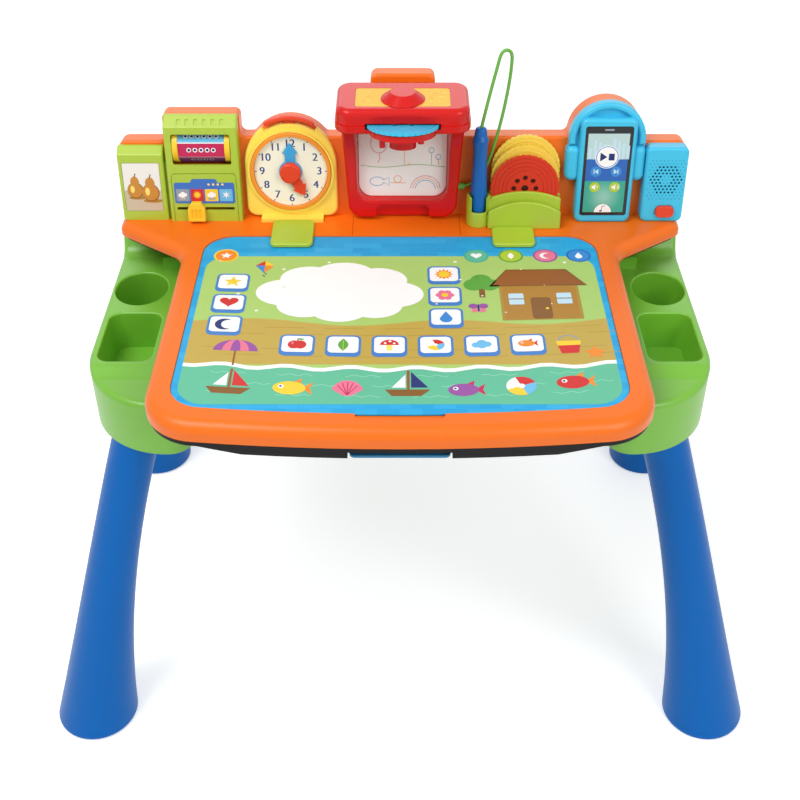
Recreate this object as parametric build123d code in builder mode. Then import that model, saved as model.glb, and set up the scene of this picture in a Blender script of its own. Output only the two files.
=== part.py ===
"""Learning desk: a flip-up activity desktop with a rear panel of play modules on a four-legged stand.

Millimetres. X runs to the right, Y to the back, Z up.
The origin is on the floor, in the middle of the desk.
On the rear panel a place is given as (x, up, out): up along the leaning panel, out towards the child.
"""
import os
from math import radians, tan

from build123d import *

os.makedirs("parts", exist_ok=True)

# Overall sizes
OVERALL_WIDTH = 640
OVERALL_DEPTH = 475
DESK_Z = 402
TRAY_Z = 360
SKIRT_Z = 306
PANEL_Y = 63
PANEL_LEAN = 7

# Walls and fits
WALL = 2.5
GAP = 0.3
PLAY = 0.05
RECESS = 0.8
OVERCUT = 5
# The modules start below the ledge and are cut off at it
UNDER_UP = -10

# Legs
FOOT_R = 37
FOOT_EDGE_R = 4
FOOT_X = OVERALL_WIDTH / 2 - FOOT_R + 1.5
FOOT_FRONT_Y = -165
FOOT_REAR_Y = OVERALL_DEPTH / 2 - FOOT_R + 1
LEG_TOP_X = 214
LEG_FRONT_Y = -120
LEG_REAR_Y = 164
LEG_TOP_R = 19.8
LEG_BOW = 5.6
SPIGOT_R = 16
SPIGOT_HEIGHT = 40
SOCKET_WALL = 3.5

# Side trays
TRAY_IN_X = 165
TRAY_OUT_X = 251
TRAY_FRONT_Y = -150
TRAY_OUT_CORNER, TRAY_IN_CORNER, TRAY_REAR_CORNER = 66, 19.5, 16
FRONT_STEP_Y, FRONT_STEP, FRONT_STEP_RUN = -103, 4.5, 12
TRAY_RIM_R, LIP_R = 5, 1.5
TRAY_BENDS = (0, 0, 0, 10, 10, 13, 10, 10, 0)
TRAY_REAR_Y = 192
TRAY_TAIL_Z = 344
WALL_FOOT_Y = 66
SADDLE_Z = 378
SADDLE_FRONT_Y = 76
SADDLE_REAR_Y = 100
CUP_X, CUP_Y = 224.5, 8
CUP_RX, CUP_RY = 22.5, 25.5
CUP_DEPTH = 44
BIN_X0, BIN_X1 = 200, 244
BIN_Y0, BIN_Y1 = -98, -30
BIN_DEPTH, BIN_CORNER, BIN_DRAFT = 34, 10, 4
RAIL_X0, RAIL_WIDTH = 168, 12
RAIL_Y0, RAIL_Y1 = -100, 40
PAD_X, PAD_Y, PAD_SIZE = 199, 47, 13
PAD_BLOCK_HALF, PAD_BLOCK_HEIGHT = 11, 12

# Cross beams
BEAM_HEIGHT = 34
BEAM_Z = 312
BEAM_EDGE_R = 3
FRONT_BEAM_Y = -60
REAR_BEAM_Y = 125
FRAME_SCREW_R = 1.9
FRAME_SCREW_LENGTH = 12
FRAME_SCREW_PITCH = 18

# Table top
FRONT_Y = -OVERALL_DEPTH / 2
DESK_X = 184.5
DESK_REAR_Y = 84
NECK_Y = 2
WING_X = 245.5
WING_FRONT_Y = 46
FRONT_BOW = 12.5
FRONT_CORNER, NECK_CORNER, WING_CORNER, REAR_CORNER = 42, 22, 13, 7
SHELL_Z = 387
WING_Z = 391
NOSE_R = 9
PAGE_X = 166
PAGE_Y0, PAGE_Y1 = -216.5, 25.5
PAGE_BOW = 10
PAGE_CORNER = 26
FINGER_NOTCH, FINGER_NOTCH_WIDTH = 64, 14
TAB_LEFT_X, TAB_RIGHT_X = -92.3, 97
TAB_HALF, TAB_FRONT_Y = 18, 7
TAB_LEFT_REAR_Y, TAB_RIGHT_REAR_Y = 48, 36.5
TAB_THICK, TAB_CORNER, TAB_EDGE_R = 3, 5, 1.2
PAGE_DROP = 1.0
PAGE_THICK = 1.0
MEMBRANE_THICK = 0.4
RECESS_Z = DESK_Z - PAGE_DROP - PAGE_THICK - MEMBRANE_THICK
CEILING_Z = RECESS_Z - WALL

# Lower case
CASE_Z = 382
WING_CASE_Z = 386
CASE_INSET = 1.5
BELLY_Z = CASE_Z - 6.5
BELLY_X, BELLY_FLAT_X = 152, 112
BELLY_INSET = 3
BELLY_Y1 = 10
BOARD_X = 106
BOARD_Y0, BOARD_Y1 = FRONT_Y + 37.5, 0
BOARD_THICK = 1.2
CASE_SCREW_R, CASE_SCREW_LENGTH = 1.4, 12
SCREW_HEAD, SCREW_SUNK = 2, 0.2
DESK_BOSS_R, CASE_POST_R, PANEL_BOSS_R, BOARD_POST_R = 4, 5, 3.8, 3
FRONT_SCREW_X, FRONT_SCREW_Y = 160, FRONT_Y + 52.5
MID_SCREW_Y = -60
REAR_SCREW_X, REAR_SCREW_Y = 115, 52

# Flip hinge
HINGE_Y, HINGE_Z = 93, 385
KNUCKLE_R, KNUCKLE_FOOT = 6, 5
HINGE_PIN_R = 2.5
KNUCKLE_X = (200, 212, 230, 242)

# Easel clip
CLIP_X = 36
CLIP_FRONT_Y = FRONT_Y + 7
CLIP_PIVOT_Y, CLIP_PIVOT_Z = FRONT_Y + 22, BELLY_Z + 3
CLIP_PIN_R = 1.2

# Battery box
BATTERY_R, BATTERY_LENGTH = 7, 50
BATTERY_PITCH = 15.5
BATTERY_Y = 53
BOX_X, BOX_Y = 30, 26
BOX_Z = CASE_Z - 6

# Rear panel
PANEL_X0, PANEL_X1 = -242, 246
PANEL_UP, PANEL_END_UP = 71, 67
PANEL_MAIN_X0, PANEL_MAIN_X1 = -200, 207
PANEL_FRONT_DEPTH = 14
PANEL_DEPTH = 20
PANEL_EDGE_R, PANEL_INNER_R = 2.5, 5

# Calendar
CAL_X0, CAL_X1 = -200, -137.5
CAL_UP = 82.7
CAL_CROWN_UP = 91
CAL_OUT, CAL_CROWN_OUT = 12, 3
PHOTO_X0, PHOTO_X1 = -242, -202.5
PHOTO_UP = 58
PHOTO_CROWN_UP = 64
PHOTO_OUT, PHOTO_CROWN_OUT = 10, 2.5
PHOTO_UP0, PHOTO_UP1 = 7, 51
PHOTO_LEFT, PHOTO_RIGHT = 3, 4
WINDOW_X0, WINDOW_X1 = -194, -144
WINDOW_UP0, WINDOW_UP1 = 49.7, 76.7
DRUM_SIDES = 7
DRUM_R = 14.6
DRUM_UP = (WINDOW_UP0 + WINDOW_UP1) / 2
DRUM_OUT = -2
STUB_R = 2
SLOT_UP0, SLOT_UP1 = 8.7, 11.5
SLIDER_X = -176.5
SLIDER_HALF, SLIDER_TIP_HALF = 7.5, 4
SLIDER_UP0, SLIDER_SHOULDER_UP, SLIDER_UP1 = 0.5, 12, 17.5
SLIDER_THICK, RIB_PITCH, RIB_CUT, RIB_DEPTH = 6, 3.4, 1.4, 1.2
LABEL_THICK = 0.4
CAL_EDGE_R = 1.6
GROOVE_COUNT, GROOVE_WIDTH, GROOVE_START, GROOVE_HEIGHT = 6, 3, 2.2, 5.5
PLATE_SIDE, PLATE_UP, PLATE_CORNER, PLATE_GROOVE = 3, 42.5, 4, 0.9
SLIDER_OUT = CAL_OUT + LABEL_THICK + GAP

# Clock
CLOCK_X = -94
CLOCK_UP = 42.5
CLOCK_R = 39.5
CLOCK_CROWN_UP = 48
CLOCK_OUT = 6
RING_R = 34.8
DIAL_R = 31.3
CLOCK_RIM = 3
CLOCK_EDGE_R = 2.4
POST_R, POST_LENGTH = 2, 7
FLANGE_HALF, FLANGE_THICK = 27, 3
DIAL_THICK = 1.2
BAR_PROUD = 3.5
BAR_ANGLE = 31
MINUTE_LENGTH, HOUR_LENGTH = 26, 24
MINUTE_HUB_R, HOUR_HUB_R = 10, 9.2
HAND_WIDTH, ARROW_WIDTH, ARROW_LENGTH = 9, 13.6, 9.5
HOUR_TURN = 150

# Projector
PROJECTOR_X = 2.3
FRAME_UP = 101
FRAME_FOOT_HALF = 46.5
FRAME_TOP_HALF = 52.5
SHEET_HALF = 38
SHEET_UP0 = 18.5
BACK_PLATE = 3
HEAD_HALF = 55
HEAD_Y0, HEAD_Y1 = 14, 74.5
HEAD_RISE, HEAD_HEIGHT, LID_HEIGHT = 100, 7, 13
HEAD_Z = DESK_Z + HEAD_RISE
LID_SEAM_Z = HEAD_Z + HEAD_HEIGHT
LID_Z = LID_SEAM_Z + LID_HEIGHT
LID_CORNER, LID_EDGE_R = 13, 5
HEAD_EDGE_R = 2
FRAME_EDGE_R, BAY_EDGE_R = 3, 1.5
NOTCH_WIDTH, NOTCH_RISE = 6.5, 1.6
PEGS = [(-16.5, 10), (14.5, 7)]
PEG_R, PEG_BACK = 2.5, -8
ARCH_HALF, ARCH_UP, ARCH_CORNER, ARCH_WALL = 23, 14, 5, 5
DIAL_Y = 38
KNOB_R, KNOB_TOP_R, KNOB_HEIGHT = 18, 10, 6
KNOB_SHAFT_R = 4
LABEL_HALF = 38.5
LABEL_Y0, LABEL_Y1 = 23.5, 58.5

# Picture discs
DISC_R = 29.5
DISC_THICK = 2.4
DISC_TEETH = 36
TOOTH_R = 0.9
DISC_HOLE_R = 3
IMAGE_COUNT = 8
IMAGE_RING_R = 9.5
IMAGE_R = 2.2
DISC_TILT = 9
DISC_Y, DISC_Z = 22, HEAD_Z + 5.5
BOWL_R, BOWL_DEPTH = 27, 6
DISC_GROOVES = [26, 22.5, 19, 15.5]
DISC_GROOVE_WIDTH, DISC_GROOVE_DEPTH = 1, 0.5
LENS_R = 8

# Disc rack and pen
RACK_X0, RACK_X1 = 76, 138.5
RED_X, RED_UP, RED_OUT = 107.3, 30.3, 15
YELLOW_FRONT_X, YELLOW_FRONT_UP, YELLOW_FRONT_OUT = 107.6, 37, 9.5
YELLOW_BACK_X, YELLOW_BACK_UP, YELLOW_BACK_OUT = 108.3, 44.4, 4
PEN_X, PEN_OUT = 68, 14.5
PEN_R = 7
PEN_UP0, PEN_UP1 = 3, 84
PEN_CUP_UP, PEN_CUP_WALL = 24.5, 3.4
CUP_NOTCH_HALF, CUP_NOTCH_UP = 6.2, 10.5
CORD_R = 1.4

# Player and speaker
PLAYER_X0, PLAYER_X1 = 152, 200
PLAYER_UP = 91
PLAYER_OUT = 15
PLAYER_CORNER = 6
BAND_X, BAND_UP, BAND_R = 176, 70.5, 32.7
EAR_UP0, EAR_UP1, EAR_REACH = 34.8, 65.8, 34.5
SPEAKER_X0, SPEAKER_X1 = 209.8, 246
SPEAKER_UP = 65.5
SPEAKER_OUT = 13.5
SPEAKER_CORNER = 5
GRILLE_X, GRILLE_UP = 228.5, 37
GRILLE_PITCH, GRILLE_HOLE_R = 3.3, 1
GRILLE_IN_R, GRILLE_OUT_R = 5, 14
BUTTON_X, BUTTON_UP = 230, 8.5
BUTTON_RX, BUTTON_RY, BUTTON_PROUD = 8, 5, 3.5
BUTTON_CORNER = 4.2
SPEAKER_EDGE_R = 2.5
PLAYER_EDGE_R, EAR_EDGE_R, BAND_EDGE_R = 3, 5, 2.5
EAR_CORNER, EAR_OUT = 5.6, 12
BAND_WIDTH, BAND_OUT, BACKING_OUT = 6, 10, 6
SCREEN_LEFT, SCREEN_RIGHT = 4, 3.5
SCREEN_UP0, SCREEN_UP1, SCREEN_CORNER = 5, 84.8, 2.2

PANEL = Plane(
    origin=(0, PANEL_Y, DESK_Z),
    x_dir=(1, 0, 0),
    z_dir=Vector(0, -1, 0).rotate(Axis.X, -PANEL_LEAN),
)
PANEL_AXIS = Axis(PANEL.origin, PANEL.z_dir)
LEDGE = Plane.XY.offset(DESK_Z)
DISC_PLANE = Plane(
    origin=(PROJECTOR_X, DISC_Y, DISC_Z),
    x_dir=(1, 0, 0),
    z_dir=Vector(0, 0, 1).rotate(Axis.X, -DISC_TILT),
)


def save(builder, label):
    """Name a finished piece and write its file."""
    builder.part.label = label
    export_step(builder.part, f"parts/{label}.step")


def rect(x0, x1, y0, y1, radius=0, mode=Mode.ADD):
    """Rectangle between two corners, in the sketch being drawn."""
    with Locations(((x0 + x1) / 2, (y0 + y1) / 2)):
        if radius:
            RectangleRounded(x1 - x0, y1 - y0, radius, mode=mode)
        else:
            Rectangle(x1 - x0, y1 - y0, mode=mode)


def block(x0, x1, y0, y1, z0, z1, mode=Mode.ADD):
    """Box between two corners, in the part being built."""
    with Locations(((x0 + x1) / 2, (y0 + y1) / 2, (z0 + z1) / 2)):
        Box(x1 - x0, y1 - y0, z1 - z0, mode=mode)


def side_plane(x):
    """Plane across the panel at x, drawn in (out, up); it extrudes towards the left."""
    return Plane(origin=PANEL.from_local_coords((x, 0, 0)), x_dir=PANEL.z_dir, z_dir=(-1, 0, 0))


def desk_outline(inset):
    """Plan of the table top with its neck and wings, drawn in by inset."""
    corner_y = FRONT_Y + FRONT_BOW
    with BuildSketch() as outline:
        with BuildLine():
            ThreePointArc((-DESK_X, corner_y), (0, FRONT_Y), (DESK_X, corner_y))
            Polyline(
                (DESK_X, corner_y), (DESK_X, NECK_Y), (WING_X, WING_FRONT_Y), (WING_X, DESK_REAR_Y),
                (-WING_X, DESK_REAR_Y), (-WING_X, WING_FRONT_Y), (-DESK_X, NECK_Y), (-DESK_X, corner_y),
            )
        make_face()
        corners = [
            (DESK_X, corner_y, FRONT_CORNER),
            (DESK_X, NECK_Y, NECK_CORNER),
            (WING_X, WING_FRONT_Y, WING_CORNER),
            (WING_X, DESK_REAR_Y, REAR_CORNER),
        ]
        for x, y, radius in corners:
            fillet(outline.vertices().sort_by_distance((x, y, 0))[0], radius=radius)
            fillet(outline.vertices().sort_by_distance((-x, y, 0))[0], radius=radius)
        if inset:
            offset(amount=-inset)
    return outline.sketch


def page_outline(grow):
    """Plan of the page with its bowed front, drawn out by grow."""
    x, y1 = PAGE_X + grow, PAGE_Y1 + grow
    corner_y = PAGE_Y0 + PAGE_BOW - grow
    with BuildSketch() as outline:
        with BuildLine():
            ThreePointArc((-x, corner_y), (0, PAGE_Y0 - grow), (x, corner_y))
            Polyline((x, corner_y), (x, y1), (-x, y1), (-x, corner_y))
        make_face()
        fillet(outline.vertices(), radius=PAGE_CORNER)
    return outline.sketch


def panel_outline(inset):
    """Front outline of the rear panel with its raised backs, drawn in by inset."""
    with BuildSketch() as outline:
        rect(PANEL_X0, PANEL_X1, 3 * UNDER_UP, PANEL_END_UP, 8)
        rect(PANEL_MAIN_X0, PANEL_MAIN_X1, 3 * UNDER_UP, PANEL_UP, 5)
        rect(CAL_X0 - 2, CAL_X1 + 1, 0, CAL_CROWN_UP, 5)
        rect(PROJECTOR_X - 27, PROJECTOR_X + 27, 0, FRAME_UP + 23.5, 6)
        with Locations((CLOCK_X, CLOCK_CROWN_UP)):
            Circle(CLOCK_R - 1)
        with Locations((BAND_X, BAND_UP)):
            Circle(BAND_R - 0.5)
        # Soft inner corners: out and back in again
        offset(amount=PANEL_INNER_R)
        offset(amount=-PANEL_INNER_R)
        if inset:
            offset(amount=-inset)
    return outline.sketch


def front_edges(part, least_out):
    """Edges of a piece on the panel that stand out from it by more than least_out."""
    return [edge for edge in part.edges() if PANEL.to_local_coords(edge.center()).Z > least_out]


def module_box(x0, x1, up, crown_up, out, crown_out, edge_r):
    """Box on the panel whose top slopes back to its crown, with soft edges."""
    with BuildPart() as box:
        with BuildSketch(side_plane(x1)):
            Polygon(
                (0, UNDER_UP), (out, UNDER_UP), (out, up), (crown_out, crown_up), (0, crown_up), align=None,
            )
        extrude(amount=x1 - x0)
        fillet(front_edges(box, crown_out / 2), radius=edge_r)
    return box.part


def crown_plane(up, crown_up, out, crown_out):
    """Plane of a sloping crown, drawn in (x, distance up the slope)."""
    foot = PANEL.from_local_coords((0, up, out))
    slope = PANEL.from_local_coords((0, crown_up, crown_out)) - foot
    return Plane(origin=foot, x_dir=PANEL.x_dir, z_dir=PANEL.x_dir.cross(slope))


def foot_up(out):
    """Height along the panel at which a front that stands out by this much meets the ledge."""
    return -out * tan(radians(PANEL_LEAN))


def soft_slab(shape, depth, edge_r):
    """Slab on the panel with its front edges rounded."""
    with BuildPart() as slab:
        with BuildSketch(PANEL):
            add(shape)
        extrude(amount=depth)
        fillet(slab.faces().sort_by(PANEL_AXIS)[-1].edges(), radius=edge_r)
    return slab.part


# Legs
def make_leg(side, foot_y, top_y):
    """One flared hollow leg with the spigot that plugs into a tray."""
    steps = 8

    def centre(z):
        share = z / SKIRT_Z
        bow = LEG_BOW * 4 * share * (1 - share)
        return (side * (FOOT_X + (LEG_TOP_X - FOOT_X) * share + bow), foot_y + (top_y - foot_y) * share)

    def radius(z):
        return LEG_TOP_R + (FOOT_R - LEG_TOP_R) * (1 - z / SKIRT_Z) ** 2.5

    with BuildPart() as leg:
        for step in range(steps):
            z = SKIRT_Z * step / (steps - 1)
            with BuildSketch(Plane.XY.offset(z)):
                with Locations(centre(z)):
                    Circle(radius(z))
        loft()
        fillet(leg.faces().sort_by(Axis.Z)[0].edges(), radius=FOOT_EDGE_R)
        with BuildSketch(Plane.XY.offset(SKIRT_Z)):
            with Locations(centre(SKIRT_Z)):
                Circle(SPIGOT_R)
        extrude(amount=SPIGOT_HEIGHT)
        # Hollow that opens through the spigot
        for step in range(steps):
            z = FOOT_EDGE_R + (SKIRT_Z - FOOT_EDGE_R - 10) * step / (steps - 1)
            with BuildSketch(Plane.XY.offset(z)):
                with Locations(centre(z)):
                    Circle(radius(z) - WALL)
        loft(mode=Mode.SUBTRACT)
        with BuildSketch(Plane.XY.offset(SKIRT_Z - 12)):
            with Locations(centre(SKIRT_Z)):
                Circle(SPIGOT_R - WALL)
        extrude(amount=SPIGOT_HEIGHT + 12, mode=Mode.SUBTRACT)
    return leg


save(make_leg(-1, FOOT_FRONT_Y, LEG_FRONT_Y), "front_left_leg")
save(make_leg(1, FOOT_FRONT_Y, LEG_FRONT_Y), "front_right_leg")
save(make_leg(-1, FOOT_REAR_Y, LEG_REAR_Y), "rear_left_leg")
save(make_leg(1, FOOT_REAR_Y, LEG_REAR_Y), "rear_right_leg")


# Side trays
def tray_block(inset, base_z):
    """Body of the right tray: plan outline cut to the side profile, both drawn in by inset."""
    x0, x1 = TRAY_IN_X + inset, TRAY_OUT_X - inset
    y0, y1 = TRAY_FRONT_Y + inset, TRAY_REAR_Y - inset
    profile = [
        (y0 - OVERCUT, base_z),
        (y1 + OVERCUT, base_z),
        (y1 + OVERCUT, TRAY_TAIL_Z - inset),
        (SADDLE_REAR_Y, SADDLE_Z - inset),
        (SADDLE_FRONT_Y, SADDLE_Z - inset),
        (WALL_FOOT_Y, TRAY_Z - inset),
        (FRONT_STEP_Y, TRAY_Z - inset),
        (FRONT_STEP_Y - FRONT_STEP_RUN, TRAY_Z - FRONT_STEP - inset),
        (y0 - OVERCUT, TRAY_Z - FRONT_STEP - inset),
    ]
    with BuildPart() as body:
        with BuildSketch(Plane.XY.offset(base_z)) as plan:
            rect(x0, x1, y0, y1)
            fillet(plan.vertices().sort_by(Axis.Y)[-2:], radius=TRAY_REAR_CORNER - inset)
            fillet(plan.vertices().sort_by_distance((x1, y0, 0))[0], radius=TRAY_OUT_CORNER - inset)
            fillet(plan.vertices().sort_by_distance((x0, y0, 0))[0], radius=TRAY_IN_CORNER - inset)
        extrude(amount=SADDLE_Z - base_z)
        with BuildSketch(Plane.YZ):
            with BuildLine():
                FilletPolyline(profile, radius=TRAY_BENDS, close=True)
            make_face()
        extrude(amount=x1 + OVERCUT, mode=Mode.INTERSECT)
    return body.part


def tray_inside(void):
    """Leg sockets and cross ribs, kept inside the hollow of the tray."""
    with BuildPart() as inside:
        for y in (LEG_FRONT_Y, LEG_REAR_Y):
            with BuildSketch(Plane.XY.offset(SKIRT_Z)):
                with Locations((LEG_TOP_X, y)):
                    Circle(SPIGOT_R + SOCKET_WALL)
            extrude(amount=SPIGOT_HEIGHT + WALL)
            block(TRAY_IN_X, TRAY_OUT_X, y - WALL / 2, y + WALL / 2, SKIRT_Z + 12, SADDLE_Z)
        add(void, mode=Mode.INTERSECT)
    return inside.part


def rim_edges(part):
    """Edges between the upper faces and the sides."""
    uppers = [face for face in part.faces() if face.normal_at(face.center()).Z > 0.3]
    edges = [edge for face in uppers for edge in face.edges()]
    return [edge for edge in edges if sum(edge.is_same(other) for other in edges) == 1]


def lip_edges(part):
    """Edges round the mouths of the cup and the bin."""
    mouths = [
        (CUP_X - CUP_RX, CUP_X + CUP_RX, CUP_Y - CUP_RY, CUP_Y + CUP_RY),
        (BIN_X0, BIN_X1, BIN_Y0, BIN_Y1),
    ]
    lips = []
    for edge in part.edges():
        box = edge.bounding_box()
        for x0, x1, y0, y1 in mouths:
            inside = box.min.X > x0 - 1 and box.max.X < x1 + 1 and box.min.Y > y0 - 1 and box.max.Y < y1 + 1
            if inside and box.min.Z > TRAY_Z - LIP_R:
                lips.append(edge)
    return lips


tray_block_full = tray_block(0, SKIRT_Z)
with BuildPart() as tray_body:
    add(tray_block_full)
    fillet(rim_edges(tray_body), radius=TRAY_RIM_R)
tray_void = tray_block(WALL, SKIRT_Z)
tray_ribs = tray_inside(tray_void)

with BuildPart() as tray_hollow:
    add(tray_void)
    add(tray_ribs, mode=Mode.SUBTRACT)
    # Walls of the cup and the bin
    with BuildSketch(Plane.XY.offset(TRAY_Z - CUP_DEPTH - WALL)):
        with Locations((CUP_X, CUP_Y)):
            Ellipse(CUP_RX + WALL, CUP_RY + WALL)
    extrude(amount=CUP_DEPTH + WALL, mode=Mode.SUBTRACT)
    with BuildSketch(Plane.XY.offset(TRAY_Z - BIN_DEPTH - WALL)):
        rect(BIN_X0 - WALL, BIN_X1 + WALL, BIN_Y0 - WALL, BIN_Y1 + WALL, BIN_CORNER)
    extrude(amount=BIN_DEPTH + WALL, mode=Mode.SUBTRACT)

with BuildPart() as right_tray:
    add(tray_body.part)
    # Cup and bin with soft lips, then the hollow underneath
    with BuildSketch(Plane.XY.offset(TRAY_Z - CUP_DEPTH)):
        with Locations((CUP_X, CUP_Y)):
            Ellipse(CUP_RX, CUP_RY)
    extrude(amount=CUP_DEPTH + OVERCUT, mode=Mode.SUBTRACT)
    with BuildSketch(Plane.XY.offset(TRAY_Z)):
        rect(BIN_X0, BIN_X1, BIN_Y0, BIN_Y1, BIN_CORNER)
    extrude(amount=-BIN_DEPTH, taper=BIN_DRAFT, mode=Mode.SUBTRACT)
    fillet(lip_edges(right_tray), radius=LIP_R)
    add(tray_hollow.part, mode=Mode.SUBTRACT)
    # Rail under the desktop's edge and block under the rest pad
    block(RAIL_X0, RAIL_X0 + RAIL_WIDTH, RAIL_Y0, RAIL_Y1, TRAY_Z - WALL, CASE_Z)
    block(
        PAD_X - PAD_BLOCK_HALF, PAD_X + PAD_BLOCK_HALF, PAD_Y - 8, WALL_FOOT_Y + 4,
        TRAY_Z - WALL, TRAY_Z + PAD_BLOCK_HEIGHT,
    )
    # Hinge knuckles
    for x in (KNUCKLE_X[0], KNUCKLE_X[2]):
        length = KNUCKLE_X[1] - KNUCKLE_X[0]
        block(x, x + length, HINGE_Y - KNUCKLE_FOOT, HINGE_Y + KNUCKLE_FOOT, SADDLE_Z - WALL, HINGE_Z)
        with BuildSketch(Plane.YZ.offset(x)):
            with Locations((HINGE_Y, HINGE_Z)):
                Circle(KNUCKLE_R)
        extrude(amount=length)
    with BuildSketch(Plane.YZ.offset(KNUCKLE_X[0] - 1)):
        with Locations((HINGE_Y, HINGE_Z)):
            Circle(HINGE_PIN_R + PLAY)
    extrude(amount=KNUCKLE_X[3] - KNUCKLE_X[0] + 2, mode=Mode.SUBTRACT)
    # Bores of the leg sockets and holes for the beam screws
    for y in (LEG_FRONT_Y, LEG_REAR_Y):
        with BuildSketch(Plane.XY.offset(SKIRT_Z - 1)):
            with Locations((LEG_TOP_X, y)):
                Circle(SPIGOT_R + GAP)
        extrude(amount=SPIGOT_HEIGHT + 1 + GAP, mode=Mode.SUBTRACT)
    with BuildSketch(Plane.YZ.offset(TRAY_IN_X - 1)):
        for beam_y in (FRONT_BEAM_Y, REAR_BEAM_Y):
            for dy in (-FRAME_SCREW_PITCH / 2, FRAME_SCREW_PITCH / 2):
                with Locations((beam_y + dy, BEAM_Z + BEAM_HEIGHT / 2)):
                    Circle(FRAME_SCREW_R + GAP)
    extrude(amount=WALL + 2, mode=Mode.SUBTRACT)

with BuildPart() as left_tray:
    mirror(right_tray.part, about=Plane.YZ)

save(right_tray, "right_tray")
save(left_tray, "left_tray")

with BuildPart() as rest_pads:
    for side in (-1, 1):
        with BuildSketch(Plane.XY.offset(TRAY_Z + PAD_BLOCK_HEIGHT)):
            with Locations((side * PAD_X, PAD_Y)):
                RectangleRounded(PAD_SIZE, PAD_SIZE, 3)
        extrude(amount=WING_CASE_Z - TRAY_Z - PAD_BLOCK_HEIGHT)
save(rest_pads, "rest_pads")


# Cross beams and their screws
def make_beam(y):
    """Open-bottomed beam with solid ends for the screws."""
    half = BEAM_HEIGHT / 2
    end = FRAME_SCREW_LENGTH + 2
    with BuildPart() as beam:
        block(-TRAY_IN_X, TRAY_IN_X, y - half, y + half, BEAM_Z, BEAM_Z + BEAM_HEIGHT)
        fillet(beam.edges().filter_by(Axis.X), radius=BEAM_EDGE_R)
        block(
            -TRAY_IN_X + end, TRAY_IN_X - end, y - half + WALL, y + half - WALL,
            BEAM_Z - 1, BEAM_Z + BEAM_HEIGHT - WALL, mode=Mode.SUBTRACT,
        )
        for side in (-1, 1):
            with BuildSketch(Plane.YZ.offset(side * TRAY_IN_X)):
                for dy in (-FRAME_SCREW_PITCH / 2, FRAME_SCREW_PITCH / 2):
                    with Locations((y + dy, BEAM_Z + half)):
                        Circle(FRAME_SCREW_R + PLAY)
            extrude(amount=-side * FRAME_SCREW_LENGTH, mode=Mode.SUBTRACT)
    return beam


save(make_beam(FRONT_BEAM_Y), "front_beam")
save(make_beam(REAR_BEAM_Y), "rear_beam")

with BuildPart() as frame_screws:
    for side in (-1, 1):
        for beam_y in (FRONT_BEAM_Y, REAR_BEAM_Y):
            for dy in (-FRAME_SCREW_PITCH / 2, FRAME_SCREW_PITCH / 2):
                place = (beam_y + dy, BEAM_Z + BEAM_HEIGHT / 2)
                with BuildSketch(Plane.YZ.offset(side * (TRAY_IN_X + WALL))):
                    with Locations(place):
                        Circle(FRAME_SCREW_R * 2)
                extrude(amount=side * WALL)
                with BuildSketch(Plane.YZ.offset(side * (TRAY_IN_X + WALL))):
                    with Locations(place):
                        Circle(FRAME_SCREW_R)
                extrude(amount=-side * FRAME_SCREW_LENGTH)
save(frame_screws, "frame_screws")

with BuildPart() as hinge_pins:
    for side in (-1, 1):
        with BuildSketch(Plane.YZ.offset(side * (KNUCKLE_X[0] - 2))):
            with Locations((HINGE_Y, HINGE_Z)):
                Circle(HINGE_PIN_R)
        extrude(amount=side * (KNUCKLE_X[3] - KNUCKLE_X[0] + 2))
        with BuildSketch(Plane.YZ.offset(side * KNUCKLE_X[3])):
            with Locations((HINGE_Y, HINGE_Z)):
                Circle(HINGE_PIN_R + 1.5)
        extrude(amount=side * 1.5)
save(hinge_pins, "hinge_pins")


# Desktop
DESK_SCREWS = [(side * FRONT_SCREW_X, y) for side in (-1, 1) for y in (FRONT_SCREW_Y, MID_SCREW_Y)]
DESK_SCREWS += [(side * REAR_SCREW_X, REAR_SCREW_Y) for side in (-1, 1)]

full_outline = desk_outline(0)
hollow_outline = desk_outline(WALL)
page_plan = page_outline(0)
page_recess = page_outline(GAP)

with BuildPart() as desktop_shell:
    with BuildSketch(Plane.XY.offset(SHELL_Z)):
        add(full_outline)
    extrude(amount=DESK_Z - SHELL_Z)
    rim = desktop_shell.faces().sort_by(Axis.Z)[-1].edges()
    fillet([edge for edge in rim if edge.center().Y < DESK_REAR_Y - 1], radius=NOSE_R)
    # Hollow underside, thinner wings
    with BuildSketch(Plane.XY.offset(SHELL_Z)):
        add(hollow_outline)
    extrude(amount=CEILING_Z - SHELL_Z, mode=Mode.SUBTRACT)
    for side in (-1, 1):
        inner, outer = sorted((side * (DESK_X - WALL), side * DESK_X))
        block(inner, outer, NECK_Y, DESK_REAR_Y, SHELL_Z, CEILING_Z + 1)
        inner, outer = sorted((side * DESK_X, side * (WING_X + 5)))
        block(inner, outer, NECK_Y - 20, DESK_REAR_Y + 5, SHELL_Z - 1, WING_Z, mode=Mode.SUBTRACT)
    # Recess of the page with a finger notch at the front
    with BuildSketch(LEDGE):
        add(page_recess)
    extrude(amount=RECESS_Z - DESK_Z, mode=Mode.SUBTRACT)
    with BuildSketch(LEDGE):
        with Locations((0, PAGE_Y0)):
            SlotOverall(FINGER_NOTCH, FINGER_NOTCH_WIDTH)
    extrude(amount=RECESS_Z - DESK_Z, mode=Mode.SUBTRACT)
    # Screw bosses
    with BuildSketch(Plane.XY.offset(SHELL_Z)):
        with Locations(*DESK_SCREWS):
            Circle(DESK_BOSS_R)
    extrude(amount=CEILING_Z - SHELL_Z + 1)
    with BuildSketch(Plane.XY.offset(SHELL_Z)):
        with Locations(*DESK_SCREWS):
            Circle(CASE_SCREW_R + PLAY)
    extrude(amount=CEILING_Z - SHELL_Z - 2, mode=Mode.SUBTRACT)
save(desktop_shell, "desktop_shell")

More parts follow.
